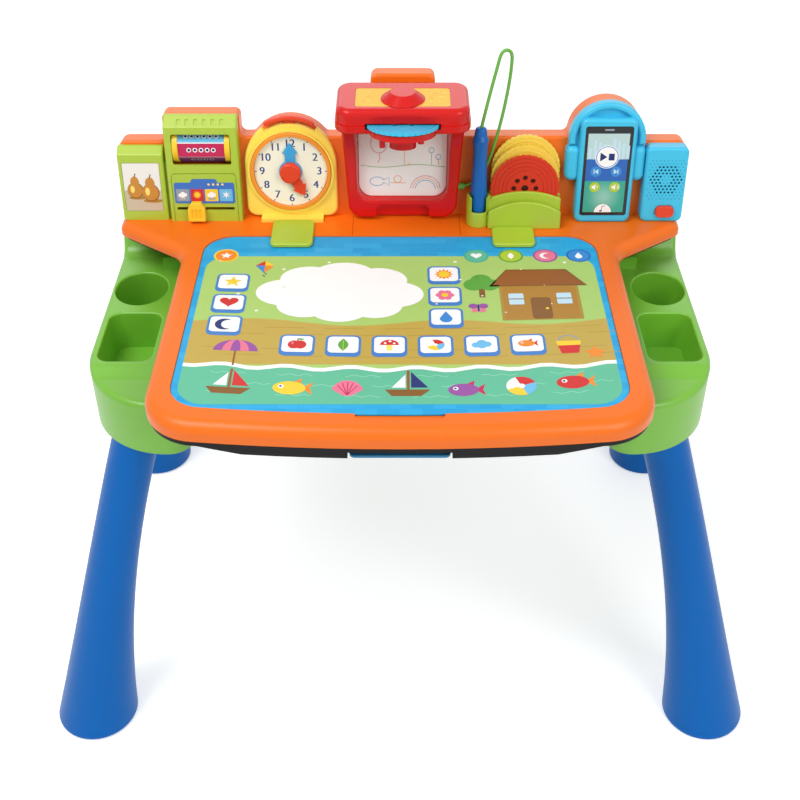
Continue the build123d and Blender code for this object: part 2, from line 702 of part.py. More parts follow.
with BuildPart() as touch_membrane:
    with BuildSketch(Plane.XY.offset(RECESS_Z)):
        add(page_plan)
    extrude(amount=MEMBRANE_THICK)
save(touch_membrane, "touch_membrane")

with BuildPart() as activity_page:
    with BuildSketch(Plane.XY.offset(RECESS_Z + MEMBRANE_THICK)):
        add(page_plan)
    extrude(amount=PAGE_THICK)
save(activity_page, "activity_page")

with BuildPart() as page_tabs:
    for x, rear_y in ((TAB_LEFT_X, TAB_LEFT_REAR_Y), (TAB_RIGHT_X, TAB_RIGHT_REAR_Y)):
        with BuildSketch(LEDGE):
            rect(x - TAB_HALF, x + TAB_HALF, TAB_FRONT_Y, rear_y, TAB_CORNER)
        extrude(amount=TAB_THICK)
    fillet(page_tabs.faces().filter_by(Axis.Z).sort_by(Axis.Z)[-2:].edges(), radius=TAB_EDGE_R)
save(page_tabs, "page_tabs")

case_outline = desk_outline(CASE_INSET)
case_hollow = desk_outline(CASE_INSET + WALL)
wing_outline = desk_outline(CASE_INSET + 3)
belly_outline = desk_outline(BELLY_INSET)

with BuildPart() as belly:
    with BuildSketch(Plane.XY.offset(BELLY_Z)):
        add(belly_outline)
    extrude(amount=CASE_Z - BELLY_Z)
    with BuildSketch(Plane.XZ.offset(-BELLY_Y1)):
        Polygon(
            (-BELLY_X, CASE_Z), (-BELLY_FLAT_X, BELLY_Z), (BELLY_FLAT_X, BELLY_Z), (BELLY_X, CASE_Z),
            align=None,
        )
    extrude(amount=BELLY_Y1 - FRONT_Y, mode=Mode.INTERSECT)

with BuildPart() as wing_plates:
    with BuildSketch(Plane.XY.offset(WING_CASE_Z)):
        add(wing_outline)
    extrude(amount=WING_Z - WING_CASE_Z)
    block(-DESK_X - GAP, DESK_X + GAP, FRONT_Y - 1, DESK_REAR_Y + 1, CASE_Z, WING_Z + 1, mode=Mode.SUBTRACT)

with BuildPart() as lower_case:
    with BuildSketch(Plane.XY.offset(CASE_Z)):
        add(case_outline)
    extrude(amount=SHELL_Z - CASE_Z)
    for side in (-1, 1):
        inner, outer = sorted((side * (DESK_X + GAP + WALL), side * (WING_X + 5)))
        block(inner, outer, NECK_Y - 20, DESK_REAR_Y + 5, CASE_Z - 1, SHELL_Z + 1, mode=Mode.SUBTRACT)
    # Belly with sloping sides
    add(belly.part)
    # Hollow of the case and of the belly
    with BuildSketch(Plane.XY.offset(CASE_Z + WALL)):
        add(case_hollow)
        rect(-DESK_X - 50, -DESK_X + 4, NECK_Y - 20, DESK_REAR_Y, mode=Mode.SUBTRACT)
        rect(DESK_X - 4, DESK_X + 50, NECK_Y - 20, DESK_REAR_Y, mode=Mode.SUBTRACT)
    extrude(amount=SHELL_Z - CASE_Z, mode=Mode.SUBTRACT)
    block(
        -BELLY_FLAT_X, BELLY_FLAT_X, BOARD_Y0, BOARD_Y1,
        BELLY_Z + BOARD_THICK + WALL, CASE_Z + WALL, mode=Mode.SUBTRACT,
    )
    # Risers that carry the wing plates
    for side in (-1, 1):
        inner, outer = sorted((side * (DESK_X + GAP), side * (DESK_X + GAP + WALL)))
        block(inner, outer, NECK_Y + 14, DESK_REAR_Y - CASE_INSET, CASE_Z, WING_Z)
    add(wing_plates.part)
    # Recess of the chalkboard, notch of the clip
    with BuildSketch(Plane.XY.offset(BELLY_Z)):
        rect(-BOARD_X, BOARD_X, BOARD_Y0, BOARD_Y1, 8)
    extrude(amount=BOARD_THICK, mode=Mode.SUBTRACT)
    block(-CLIP_X - 1, CLIP_X + 1, FRONT_Y, CLIP_PIVOT_Y + 6, BELLY_Z - 1, CASE_Z, mode=Mode.SUBTRACT)
    for side in (-1, 1):
        inner, outer = sorted((side * (CLIP_X - 8), side * (CLIP_X - 5)))
        block(inner, outer, CLIP_PIVOT_Y - 3, CLIP_PIVOT_Y + 3, CLIP_PIVOT_Z - 2.2, CASE_Z)
    # Battery box and its opening
    block(-BOX_X - 2, BOX_X + 2, BATTERY_Y - BOX_Y - 2, BATTERY_Y + BOX_Y + 2, BOX_Z, CEILING_Z - 3)
    block(
        -BOX_X, BOX_X, BATTERY_Y - BOX_Y, BATTERY_Y + BOX_Y, BOX_Z - 1, CEILING_Z - 2,
        mode=Mode.SUBTRACT,
    )
    # Hinge knuckles
    for side in (-1, 1):
        x0, x1 = KNUCKLE_X[1] + GAP, KNUCKLE_X[2] - GAP
        inner, outer = sorted((side * x0, side * x1))
        block(inner, outer, DESK_REAR_Y - 8, HINGE_Y, WING_CASE_Z, WING_Z)
        with BuildSketch(Plane.YZ.offset(inner)):
            with Locations((HINGE_Y, HINGE_Z)):
                Circle(KNUCKLE_R)
        extrude(amount=outer - inner)
        with BuildSketch(Plane.YZ.offset(inner - 1)):
            with Locations((HINGE_Y, HINGE_Z)):
                Circle(HINGE_PIN_R + PLAY)
        extrude(amount=outer - inner + 2, mode=Mode.SUBTRACT)
    # Screw posts with sunk heads, bore of the clip pin
    with BuildSketch(Plane.XY.offset(CASE_Z)):
        with Locations(*DESK_SCREWS):
            Circle(CASE_POST_R)
    extrude(amount=SHELL_Z - CASE_Z)
    with BuildSketch(Plane.XY.offset(CASE_Z)):
        with Locations(*DESK_SCREWS):
            Circle(CASE_SCREW_R + GAP)
    extrude(amount=SHELL_Z - CASE_Z, mode=Mode.SUBTRACT)
    with BuildSketch(Plane.XY.offset(CASE_Z)):
        with Locations(*DESK_SCREWS):
            Circle(CASE_SCREW_R * 2 + GAP)
    extrude(amount=SCREW_HEAD + SCREW_SUNK, mode=Mode.SUBTRACT)
    with BuildSketch(Plane.YZ.offset(-CLIP_X + 3)):
        with Locations((CLIP_PIVOT_Y, CLIP_PIVOT_Z)):
            Circle(CLIP_PIN_R + PLAY)
    extrude(amount=2 * CLIP_X - 6, mode=Mode.SUBTRACT)
save(lower_case, "lower_case")

with BuildPart() as chalkboard:
    with BuildSketch(Plane.XY.offset(BELLY_Z)):
        rect(-BOARD_X + GAP, BOARD_X - GAP, BOARD_Y0 + GAP, BOARD_Y1 - GAP, 8 - GAP)
    extrude(amount=BOARD_THICK)
save(chalkboard, "chalkboard")

with BuildPart() as clip_pin:
    with BuildSketch(Plane.YZ.offset(-CLIP_X + 2)):
        with Locations((CLIP_PIVOT_Y, CLIP_PIVOT_Z)):
            Circle(CLIP_PIN_R)
    extrude(amount=2 * CLIP_X - 4)
save(clip_pin, "clip_pin")

with BuildPart() as easel_clip:
    with BuildSketch(Plane.XY.offset(BELLY_Z - 3)):
        rect(-CLIP_X, CLIP_X, CLIP_FRONT_Y, CLIP_PIVOT_Y + 22, 4)
    extrude(amount=2.6)
    for side in (-1, 1):
        inner, outer = sorted((side * (CLIP_X - 4.5), side * (CLIP_X - 2)))
        block(inner, outer, CLIP_PIVOT_Y - 2.6, CLIP_PIVOT_Y + 2.6, BELLY_Z - 1, CLIP_PIVOT_Z + 2.4)
    with BuildSketch(Plane.YZ.offset(-CLIP_X)):
        with Locations((CLIP_PIVOT_Y, CLIP_PIVOT_Z)):
            Circle(CLIP_PIN_R + PLAY)
    extrude(amount=2 * CLIP_X, mode=Mode.SUBTRACT)
save(easel_clip, "easel_clip")

with BuildPart() as battery_door:
    block(
        -BOX_X + GAP, BOX_X - GAP, BATTERY_Y - BOX_Y + GAP, BATTERY_Y + BOX_Y - GAP,
        BOX_Z, BOX_Z + WALL,
    )
save(battery_door, "battery_door")

BATTERY_Z = BOX_Z + WALL + BATTERY_R
BATTERY_ROWS = [BATTERY_Y + row * BATTERY_PITCH for row in (-1, 0, 1)]

with BuildPart() as batteries:
    for y in BATTERY_ROWS:
        with BuildSketch(Plane.YZ.offset(-BATTERY_LENGTH / 2 - 1)):
            with Locations((y, BATTERY_Z)):
                Circle(BATTERY_R)
        extrude(amount=BATTERY_LENGTH)
        with BuildSketch(Plane.YZ.offset(BATTERY_LENGTH / 2 - 1)):
            with Locations((y, BATTERY_Z)):
                Circle(2.5)
        extrude(amount=1)
save(batteries, "batteries")

with BuildPart() as battery_contacts:
    for y in BATTERY_ROWS:
        block(-BOX_X, -BATTERY_LENGTH / 2 - 1, y - 5, y + 5, BATTERY_Z - 5, BATTERY_Z + 5)
        block(BATTERY_LENGTH / 2, BOX_X, y - 5, y + 5, BATTERY_Z - 5, BATTERY_Z + 5)
save(battery_contacts, "battery_contacts")


# Rear panel
PANEL_SCREWS = [(-225, 25), (-118, 15), (-45, 60), (118, 62), (140, 15), (225, 12)]
MAIN_BOARD_X0, MAIN_BOARD_X1 = -28, 100
MAIN_BOARD_UP0, MAIN_BOARD_UP1 = 8, 52
BOARD_POSTS = [
    (x, up)
    for x in (MAIN_BOARD_X0 + 8, MAIN_BOARD_X1 - 10)
    for up in (MAIN_BOARD_UP0 + 6, MAIN_BOARD_UP1 - 6)
]
panel_full = panel_outline(0)
panel_hollow = panel_outline(WALL)

with BuildPart() as panel_shell:
    with BuildSketch(PANEL):
        add(panel_full)
    extrude(amount=-PANEL_FRONT_DEPTH)
    fillet(panel_shell.faces().sort_by(PANEL_AXIS)[-1].edges(), radius=PANEL_EDGE_R)
    with BuildSketch(PANEL.offset(-WALL)):
        add(panel_hollow)
    extrude(amount=-PANEL_FRONT_DEPTH, mode=Mode.SUBTRACT)
    with BuildSketch(PANEL.offset(-WALL)):
        with Locations(*PANEL_SCREWS):
            Circle(PANEL_BOSS_R)
    extrude(amount=WALL - PANEL_FRONT_DEPTH)
    with BuildSketch(PANEL.offset(-WALL)):
        with Locations(*PANEL_SCREWS):
            Circle(CASE_SCREW_R + PLAY)
    extrude(amount=-PANEL_FRONT_DEPTH, mode=Mode.SUBTRACT)
    # Openings for the day drum and the speaker
    with BuildSketch(PANEL):
        rect(WINDOW_X0 - 4, WINDOW_X1 + 4, WINDOW_UP0 - 3, WINDOW_UP1 + 3)
        with Locations((GRILLE_X, GRILLE_UP)):
            Circle(15)
    extrude(amount=-PANEL_FRONT_DEPTH, mode=Mode.SUBTRACT)
    split(bisect_by=LEDGE, keep=Keep.TOP)
save(panel_shell, "panel_shell")

with BuildPart() as panel_back:
    with BuildSketch(PANEL.offset(-PANEL_FRONT_DEPTH)):
        add(panel_full)
    extrude(amount=PANEL_FRONT_DEPTH - PANEL_DEPTH)
    fillet(panel_back.faces().sort_by(PANEL_AXIS)[0].edges(), radius=PANEL_EDGE_R)
    with BuildSketch(PANEL.offset(-PANEL_FRONT_DEPTH)):
        add(panel_hollow)
    extrude(amount=PANEL_FRONT_DEPTH - PANEL_DEPTH + WALL, mode=Mode.SUBTRACT)
    # Posts for the screws and for the circuit board
    with BuildSketch(PANEL.offset(-PANEL_FRONT_DEPTH)):
        with Locations(*PANEL_SCREWS):
            Circle(PANEL_BOSS_R)
    extrude(amount=PANEL_FRONT_DEPTH - PANEL_DEPTH)
    with BuildSketch(PANEL.offset(-PANEL_FRONT_DEPTH)):
        with Locations(*BOARD_POSTS):
            Circle(BOARD_POST_R)
    extrude(amount=PANEL_FRONT_DEPTH - PANEL_DEPTH)
    with BuildSketch(PANEL.offset(-PANEL_FRONT_DEPTH)):
        with Locations(*PANEL_SCREWS):
            Circle(CASE_SCREW_R + GAP)
    extrude(amount=-PANEL_DEPTH, mode=Mode.SUBTRACT)
    with BuildSketch(PANEL.offset(-PANEL_DEPTH)):
        with Locations(*PANEL_SCREWS):
            Circle(CASE_SCREW_R * 2 + GAP)
    extrude(amount=SCREW_HEAD + SCREW_SUNK, mode=Mode.SUBTRACT)
    split(bisect_by=LEDGE, keep=Keep.TOP)
save(panel_back, "panel_back")

with BuildPart() as main_board:
    with BuildSketch(PANEL.offset(-PANEL_FRONT_DEPTH)):
        rect(MAIN_BOARD_X0, MAIN_BOARD_X1, MAIN_BOARD_UP0, MAIN_BOARD_UP1, 2)
    extrude(amount=1.6)
save(main_board, "main_board")

with BuildPart() as case_screws:
    for place in DESK_SCREWS:
        with BuildSketch(Plane.XY.offset(CASE_Z + SCREW_SUNK)):
            with Locations(place):
                Circle(CASE_SCREW_R * 2)
        extrude(amount=SCREW_HEAD)
        with BuildSketch(Plane.XY.offset(CASE_Z + SCREW_SUNK)):
            with Locations(place):
                Circle(CASE_SCREW_R)
        extrude(amount=CASE_SCREW_LENGTH)
    for place in PANEL_SCREWS:
        with BuildSketch(PANEL.offset(SCREW_SUNK - PANEL_DEPTH)):
            with Locations(place):
                Circle(CASE_SCREW_R * 2)
        extrude(amount=SCREW_HEAD)
        with BuildSketch(PANEL.offset(SCREW_SUNK - PANEL_DEPTH)):
            with Locations(place):
                Circle(CASE_SCREW_R)
        extrude(amount=CASE_SCREW_LENGTH)
save(case_screws, "case_screws")


# Calendar
calendar_box = module_box(CAL_X0, CAL_X1, CAL_UP, CAL_CROWN_UP, CAL_OUT, CAL_CROWN_OUT, CAL_EDGE_R)
photo_box = module_box(
    PHOTO_X0, PHOTO_X1, PHOTO_UP, PHOTO_CROWN_UP, PHOTO_OUT, PHOTO_CROWN_OUT, CAL_EDGE_R,
)

with BuildPart() as calendar_housing:
    add(calendar_box)
    add(photo_box)
    # Web that joins the two boxes
    with BuildSketch(PANEL):
        rect(PHOTO_X1 - 2, CAL_X0 + 2, UNDER_UP, PHOTO_UP - 8)
    extrude(amount=5)
    # Hollow backs
    with BuildSketch(PANEL):
        rect(CAL_X0 + WALL, CAL_X1 - WALL, 4, CAL_UP - 1)
    extrude(amount=CAL_OUT - WALL, mode=Mode.SUBTRACT)
    with BuildSketch(PANEL):
        rect(PHOTO_X0 + WALL, PHOTO_X1 - WALL, 4, PHOTO_UP - 1)
    extrude(amount=PHOTO_OUT - WALL, mode=Mode.SUBTRACT)
    # Window, slider slot, recess of the picture
    with BuildSketch(PANEL):
        rect(WINDOW_X0, WINDOW_X1, WINDOW_UP0, WINDOW_UP1, 2)
        rect(WINDOW_X0, WINDOW_X1, SLOT_UP0, SLOT_UP1, 1)
    extrude(amount=CAL_OUT + 1, mode=Mode.SUBTRACT)
    with BuildSketch(PANEL.offset(PHOTO_OUT)):
        rect(PHOTO_X0 + PHOTO_LEFT, PHOTO_X1 - PHOTO_RIGHT, PHOTO_UP0, PHOTO_UP1, 1.5)
    extrude(amount=-RECESS, mode=Mode.SUBTRACT)
    # Cheeks that carry the drum
    for x in (WINDOW_X0 - 3, WINDOW_X1 + 0.6):
        with BuildSketch(side_plane(x + 2.4)):
            rect(DRUM_OUT - 5, CAL_OUT - 1, DRUM_UP - 5, DRUM_UP + 5)
        extrude(amount=2.4)
    with BuildSketch(side_plane(WINDOW_X1 + 3.5)):
        with Locations((DRUM_OUT, DRUM_UP)):
            Circle(STUB_R + PLAY)
    extrude(amount=WINDOW_X1 - WINDOW_X0 + 7, mode=Mode.SUBTRACT)
    # Grooves of the crown and round the weather plate
    with BuildSketch(crown_plane(CAL_UP, CAL_CROWN_UP, CAL_OUT, CAL_CROWN_OUT)):
        for groove in range(GROOVE_COUNT):
            x = CAL_X0 + 13 + groove * (CAL_X1 - CAL_X0 - 26) / (GROOVE_COUNT - 1)
            rect(x - GROOVE_WIDTH / 2, x + GROOVE_WIDTH / 2, GROOVE_START, GROOVE_START + GROOVE_HEIGHT)
    extrude(amount=-RECESS, mode=Mode.SUBTRACT)
    with BuildSketch(PANEL.offset(CAL_OUT)):
        rect(CAL_X0 + PLATE_SIDE, CAL_X1 - PLATE_SIDE, UNDER_UP, PLATE_UP, PLATE_CORNER)
        inner = PLATE_SIDE + PLATE_GROOVE
        rect(
            CAL_X0 + inner, CAL_X1 - inner, UNDER_UP, PLATE_UP - PLATE_GROOVE, PLATE_CORNER - PLATE_GROOVE,
            mode=Mode.SUBTRACT,
        )
    extrude(amount=-RECESS, mode=Mode.SUBTRACT)
    split(bisect_by=LEDGE, keep=Keep.TOP)
save(calendar_housing, "calendar_housing")

with BuildPart() as photo_card:
    with BuildSketch(PANEL.offset(PHOTO_OUT - RECESS)):
        rect(
            PHOTO_X0 + PHOTO_LEFT + GAP, PHOTO_X1 - PHOTO_RIGHT - GAP,
            PHOTO_UP0 + GAP, PHOTO_UP1 - GAP, 1.2,
        )
    extrude(amount=0.5)
save(photo_card, "photo_card")

with BuildPart() as weather_label:
    with BuildSketch(PANEL.offset(CAL_OUT)):
        rect(WINDOW_X0 - 1, WINDOW_X1 + 1, 15.2, 34, 2)
        rect(SLIDER_X - 4, SLIDER_X + 19, 20, 37.3, 3)
    extrude(amount=LABEL_THICK)
save(weather_label, "weather_label")

with BuildPart() as day_drum:
    with BuildSketch(side_plane(WINDOW_X1 - 5)):
        with Locations((DRUM_OUT, DRUM_UP)):
            RegularPolygon(DRUM_R, DRUM_SIDES, rotation=180 / DRUM_SIDES)
    extrude(amount=WINDOW_X1 - WINDOW_X0 - 10)
    for x in (WINDOW_X1 - 0.5, WINDOW_X0 + 5):
        with BuildSketch(side_plane(x)):
            with Locations((DRUM_OUT, DRUM_UP)):
                Circle(DRUM_R + GAP)
        extrude(amount=4.5)
    with BuildSketch(side_plane(WINDOW_X1 + 2.6)):
        with Locations((DRUM_OUT, DRUM_UP)):
            Circle(STUB_R)
    extrude(amount=WINDOW_X1 - WINDOW_X0 + 5.2)
save(day_drum, "day_drum")

with BuildPart() as weather_slider:
    with BuildSketch(PANEL.offset(SLIDER_OUT)) as knob:
        Polygon(
            (SLIDER_X - SLIDER_HALF, SLIDER_UP0), (SLIDER_X + SLIDER_HALF, SLIDER_UP0),
            (SLIDER_X + SLIDER_HALF, SLIDER_SHOULDER_UP), (SLIDER_X + SLIDER_TIP_HALF, SLIDER_UP1),
            (SLIDER_X - SLIDER_TIP_HALF, SLIDER_UP1), (SLIDER_X - SLIDER_HALF, SLIDER_SHOULDER_UP),
            align=None,
        )
        fillet(knob.vertices(), radius=1.5)
    extrude(amount=SLIDER_THICK)
    # Cuts between the ribs of the grip
    with BuildSketch(PANEL.offset(SLIDER_OUT + SLIDER_THICK)):
        for step in (-1, 0, 1):
            x = SLIDER_X + step * RIB_PITCH
            rect(x - RIB_CUT / 2, x + RIB_CUT / 2, SLIDER_UP0 + 2.5, SLIDER_SHOULDER_UP - 0.5)
    extrude(amount=-RIB_DEPTH, mode=Mode.SUBTRACT)
    # Neck through the slot and the keeper behind it
    with BuildSketch(PANEL.offset(CAL_OUT - WALL - GAP)):
        rect(SLIDER_X - 3, SLIDER_X + 3, SLOT_UP0 + GAP, SLOT_UP1 - GAP)
    extrude(amount=SLIDER_OUT - CAL_OUT + WALL + GAP)
    with BuildSketch(PANEL.offset(CAL_OUT - WALL - GAP)):
        rect(SLIDER_X - 3, SLIDER_X + 3, SLOT_UP0 - 3, SLOT_UP1 + 3)
    extrude(amount=-2)
save(weather_slider, "weather_slider")


# Clock
def bar_sector(inner, outer, spread):
    """Arc-shaped sketch over the crown of the clock."""
    reach = outer * 2
    with BuildSketch() as sector:
        with Locations((CLOCK_X, CLOCK_CROWN_UP)):
            Circle(outer)
            Circle(inner, mode=Mode.SUBTRACT)
        with BuildLine():
            side = reach * tan(radians(spread))
            Polyline(
                (CLOCK_X, CLOCK_CROWN_UP), (CLOCK_X + side, CLOCK_CROWN_UP + reach),
                (CLOCK_X - side, CLOCK_CROWN_UP + reach), close=True,
            )
        make_face(mode=Mode.INTERSECT)
    return sector.sketch


bar_shape = bar_sector(CLOCK_R - 0.5, CLOCK_R + BAR_PROUD, BAR_ANGLE)
bar_notch = bar_sector(CLOCK_R - 3.5, CLOCK_R + 5, BAR_ANGLE + 5)

with BuildPart() as clock_housing:
    with BuildSketch(PANEL) as face:
        rect(CLOCK_X - CLOCK_R, CLOCK_X + CLOCK_R, 0.5, CLOCK_CROWN_UP)
        fillet(face.vertices().sort_by(Axis.Y)[:2], radius=9)
        with Locations((CLOCK_X, CLOCK_CROWN_UP)):
            Circle(CLOCK_R)
    extrude(amount=CLOCK_OUT)
    fillet(clock_housing.faces().sort_by(PANEL_AXIS)[-1].edges(), radius=CLOCK_EDGE_R)
    # Rim round the dial, then the post of the hands
    with BuildSketch(PANEL.offset(CLOCK_OUT)):
        with Locations((CLOCK_X, CLOCK_UP)):
            Circle(RING_R + GAP + 1.8)
            Circle(RING_R + GAP, mode=Mode.SUBTRACT)
    extrude(amount=CLOCK_RIM)
    with BuildSketch(PANEL.offset(CLOCK_OUT)):
        with Locations((CLOCK_X, CLOCK_UP)):
            Circle(POST_R)
    extrude(amount=POST_LENGTH)
    # Notch and guide of the push bar
    with BuildSketch(PANEL):
        add(bar_notch)
    extrude(amount=CLOCK_OUT + 1, mode=Mode.SUBTRACT)
    with BuildSketch(PANEL.offset(1.5)):
        rect(CLOCK_X - 5 - GAP, CLOCK_X + 5 + GAP, CLOCK_CROWN_UP + 27, CLOCK_CROWN_UP + CLOCK_R)
    extrude(amount=3, mode=Mode.SUBTRACT)
    # Flange on the ledge
    block(
        CLOCK_X - FLANGE_HALF, CLOCK_X + FLANGE_HALF, PANEL_Y - 14.5, PANEL_Y - 3,
        DESK_Z, DESK_Z + FLANGE_THICK,
    )
    split(bisect_by=LEDGE, keep=Keep.TOP)
save(clock_housing, "clock_housing")

with BuildPart() as clock_dial:
    with BuildSketch(PANEL.offset(CLOCK_OUT)):
        with Locations((CLOCK_X, CLOCK_UP)):
            Circle(DIAL_R)
            Circle(POST_R + GAP, mode=Mode.SUBTRACT)
    extrude(amount=DIAL_THICK)
save(clock_dial, "clock_dial")

with BuildPart() as clock_ring:
    with BuildSketch(PANEL.offset(CLOCK_OUT)):
        with Locations((CLOCK_X, CLOCK_UP)):
            Circle(RING_R)
            Circle(DIAL_R + GAP, mode=Mode.SUBTRACT)
    extrude(amount=CLOCK_RIM + DIAL_THICK)
    fillet(clock_ring.faces().sort_by(SortBy.AREA)[-1].edges(), radius=0.8)
save(clock_ring, "clock_ring")


def make_hand(turn, length, hub_r, out, thick):
    """Arrow-shaped hand that turns on the post; turn is clockwise from twelve."""
    plane = Plane(
        origin=PANEL.from_local_coords((CLOCK_X, CLOCK_UP, out)),
        x_dir=PANEL.x_dir.rotate(Axis((0, 0, 0), PANEL.z_dir), -turn),
        z_dir=PANEL.z_dir,
    )
    half, barb = HAND_WIDTH / 2, ARROW_WIDTH / 2
    neck = length - ARROW_LENGTH
    with BuildPart() as hand:
        with BuildSketch(plane):
            Circle(hub_r)
            Polygon(
                (-half, 0), (half, 0), (half, neck), (barb, neck), (0, length), (-barb, neck), (-half, neck),
                align=None,
            )
        extrude(amount=thick)
        with BuildSketch(plane):
            Circle(POST_R + PLAY)
        extrude(amount=thick, mode=Mode.SUBTRACT)
    return hand


minute_hand = make_hand(0, MINUTE_LENGTH, MINUTE_HUB_R, CLOCK_OUT + 1.8, 1.8)
save(minute_hand, "minute_hand")

hour_base = make_hand(HOUR_TURN, HOUR_LENGTH, HOUR_HUB_R, CLOCK_OUT + 4, 2)
with BuildPart() as hour_hand:
    add(hour_base.part)
    # Domed cap over the end of the post
    with BuildSketch(PANEL.offset(CLOCK_OUT + 6)):
        with Locations((CLOCK_X, CLOCK_UP)):
            Circle(HOUR_HUB_R)
    extrude(amount=3)
    fillet(hour_hand.faces().sort_by(PANEL_AXIS)[-1].edges(), radius=2.5)
    with BuildSketch(PANEL.offset(CLOCK_OUT + 6)):
        with Locations((CLOCK_X, CLOCK_UP)):
            Circle(POST_R + PLAY)
    extrude(amount=1.4, mode=Mode.SUBTRACT)
save(hour_hand, "hour_hand")

with BuildPart() as clock_button:
    with BuildSketch(PANEL.offset(0.6)):
        add(bar_shape)
    extrude(amount=CLOCK_OUT + 0.8)
    with BuildSketch(PANEL.offset(1.5 + GAP)):
        rect(CLOCK_X - 5, CLOCK_X + 5, CLOCK_CROWN_UP + 31, CLOCK_CROWN_UP + CLOCK_R)
    extrude(amount=3 - 2 * GAP)
save(clock_button, "clock_button")


# Projector
def frame_edges(part):
    """Edges round the front of the frame, without those at its top."""
    return [edge for edge in front_edges(part, 6) if edge.center().Z < HEAD_Z - 2]


def bay_edges(part):
    """Edges of the bay at the front of the frame."""
    inside = FRAME_FOOT_HALF - FRAME_EDGE_R
    edges = [edge for edge in frame_edges(part) if abs(edge.center().X - PROJECTOR_X) < inside]
    return [edge for edge in edges if PANEL.to_local_coords(edge.center()).Y > SHEET_UP0 - 5]


with BuildPart() as projector_frame:
    with BuildSketch(PANEL) as front:
        Polygon(
            (PROJECTOR_X - FRAME_FOOT_HALF, 1.5), (PROJECTOR_X + FRAME_FOOT_HALF, 1.5),
            (PROJECTOR_X + FRAME_TOP_HALF, FRAME_UP + 4), (PROJECTOR_X - FRAME_TOP_HALF, FRAME_UP + 4),
            align=None,
        )
        fillet(front.vertices().sort_by(Axis.Y)[:2], radius=13)
    extrude(amount=60)
    with BuildSketch(side_plane(PROJECTOR_X + FRAME_TOP_HALF + 5)):
        with BuildLine():
            bottom = Line((0, 0), (12, 0))
            lower = Line(bottom @ 1, (15, 40))
            Spline(lower @ 1, (20, 70), (36, 92), (48, FRAME_UP + 4), tangents=[(0.075, 1), (0.3, 1)])
            Polyline((48, FRAME_UP + 4), (0, FRAME_UP + 4), (0, 0))
        make_face()
    extrude(amount=2 * FRAME_TOP_HALF + 10, mode=Mode.INTERSECT)
    fillet(frame_edges(projector_frame), radius=FRAME_EDGE_R)
    # Bay of the drawing sheet and the arch between the feet
    with BuildSketch(PANEL.offset(BACK_PLATE)):
        rect(PROJECTOR_X - SHEET_HALF, PROJECTOR_X + SHEET_HALF, SHEET_UP0, FRAME_UP + 40, 12)
    extrude(amount=60, taper=-7, mode=Mode.SUBTRACT)
    fillet(bay_edges(projector_frame), radius=BAY_EDGE_R)
    with BuildSketch(PANEL.offset(ARCH_WALL)):
        rect(PROJECTOR_X - ARCH_HALF, PROJECTOR_X + ARCH_HALF, UNDER_UP, ARCH_UP, ARCH_CORNER)
    extrude(amount=60, mode=Mode.SUBTRACT)
    split(bisect_by=Plane.XY.offset(HEAD_Z), keep=Keep.BOTTOM)
    split(bisect_by=LEDGE, keep=Keep.TOP)
save(projector_frame, "projector_frame")

with BuildPart() as drawing_sheet:
    with BuildSketch(PANEL.offset(BACK_PLATE)):
        rect(
            PROJECTOR_X - SHEET_HALF + GAP, PROJECTOR_X + SHEET_HALF - GAP,
            SHEET_UP0 + GAP, FRAME_UP - 4, 11.5,
        )
    extrude(amount=0.5)
save(drawing_sheet, "drawing_sheet")


def head_plan(inset):
    """Plan of the projector's head, drawn in by inset."""
    with BuildSketch() as plan:
        rect(
            PROJECTOR_X - HEAD_HALF + inset, PROJECTOR_X + HEAD_HALF - inset,
            HEAD_Y0 + inset, HEAD_Y1 - inset, LID_CORNER - inset,
        )
    return plan.sketch


head_full = head_plan(0)
head_hollow = head_plan(WALL)
lid_full = head_plan(1)

def cut_notch():
    """Cut the small notch over the slot of the disc, in the part being built."""
    half = NOTCH_WIDTH / 2
    block(
        PROJECTOR_X - half, PROJECTOR_X + half, HEAD_Y0 - 1, HEAD_Y0 + 2 * WALL,
        DISC_Z, LID_SEAM_Z + NOTCH_RISE, mode=Mode.SUBTRACT,
    )


with BuildPart() as projector_head:
    with BuildSketch(Plane.XY.offset(HEAD_Z)):
        add(head_full)
    extrude(amount=LID_SEAM_Z - HEAD_Z)
    fillet(projector_head.faces().sort_by(Axis.Z)[0].edges(), radius=HEAD_EDGE_R)
    with BuildSketch(Plane.XY.offset(HEAD_Z + WALL)):
        add(head_hollow)
    extrude(amount=LID_SEAM_Z - HEAD_Z, mode=Mode.SUBTRACT)
    # Bowl under the disc, room for the disc, spindle, bore of the lens
    with BuildSketch(DISC_PLANE.offset(-DISC_THICK / 2 - GAP)):
        Circle(BOWL_R)
    extrude(amount=-BOWL_DEPTH)
    with BuildSketch(DISC_PLANE.offset(-DISC_THICK / 2 - GAP)):
        Circle(DISC_R + 1.8)
    extrude(amount=DISC_THICK + 4 * GAP, mode=Mode.SUBTRACT)
    with BuildSketch(DISC_PLANE.offset(-DISC_THICK / 2 - GAP - 1)):
        Circle(DISC_HOLE_R - PLAY)
    extrude(amount=DISC_THICK + 2.2)
    with BuildSketch(DISC_PLANE.offset(-DISC_THICK / 2)):
        with Locations((0, IMAGE_RING_R)):
            Circle(LENS_R - 2.5)
    extrude(amount=-12, mode=Mode.SUBTRACT)
    # Pegs under the bowl, notch over the slot
    for x, length in PEGS:
        with BuildSketch(DISC_PLANE.offset(1 - DISC_THICK / 2 - GAP - BOWL_DEPTH)):
            with Locations((x, PEG_BACK)):
                Circle(PEG_R)
        extrude(amount=-length)
    cut_notch()
save(projector_head, "projector_head")

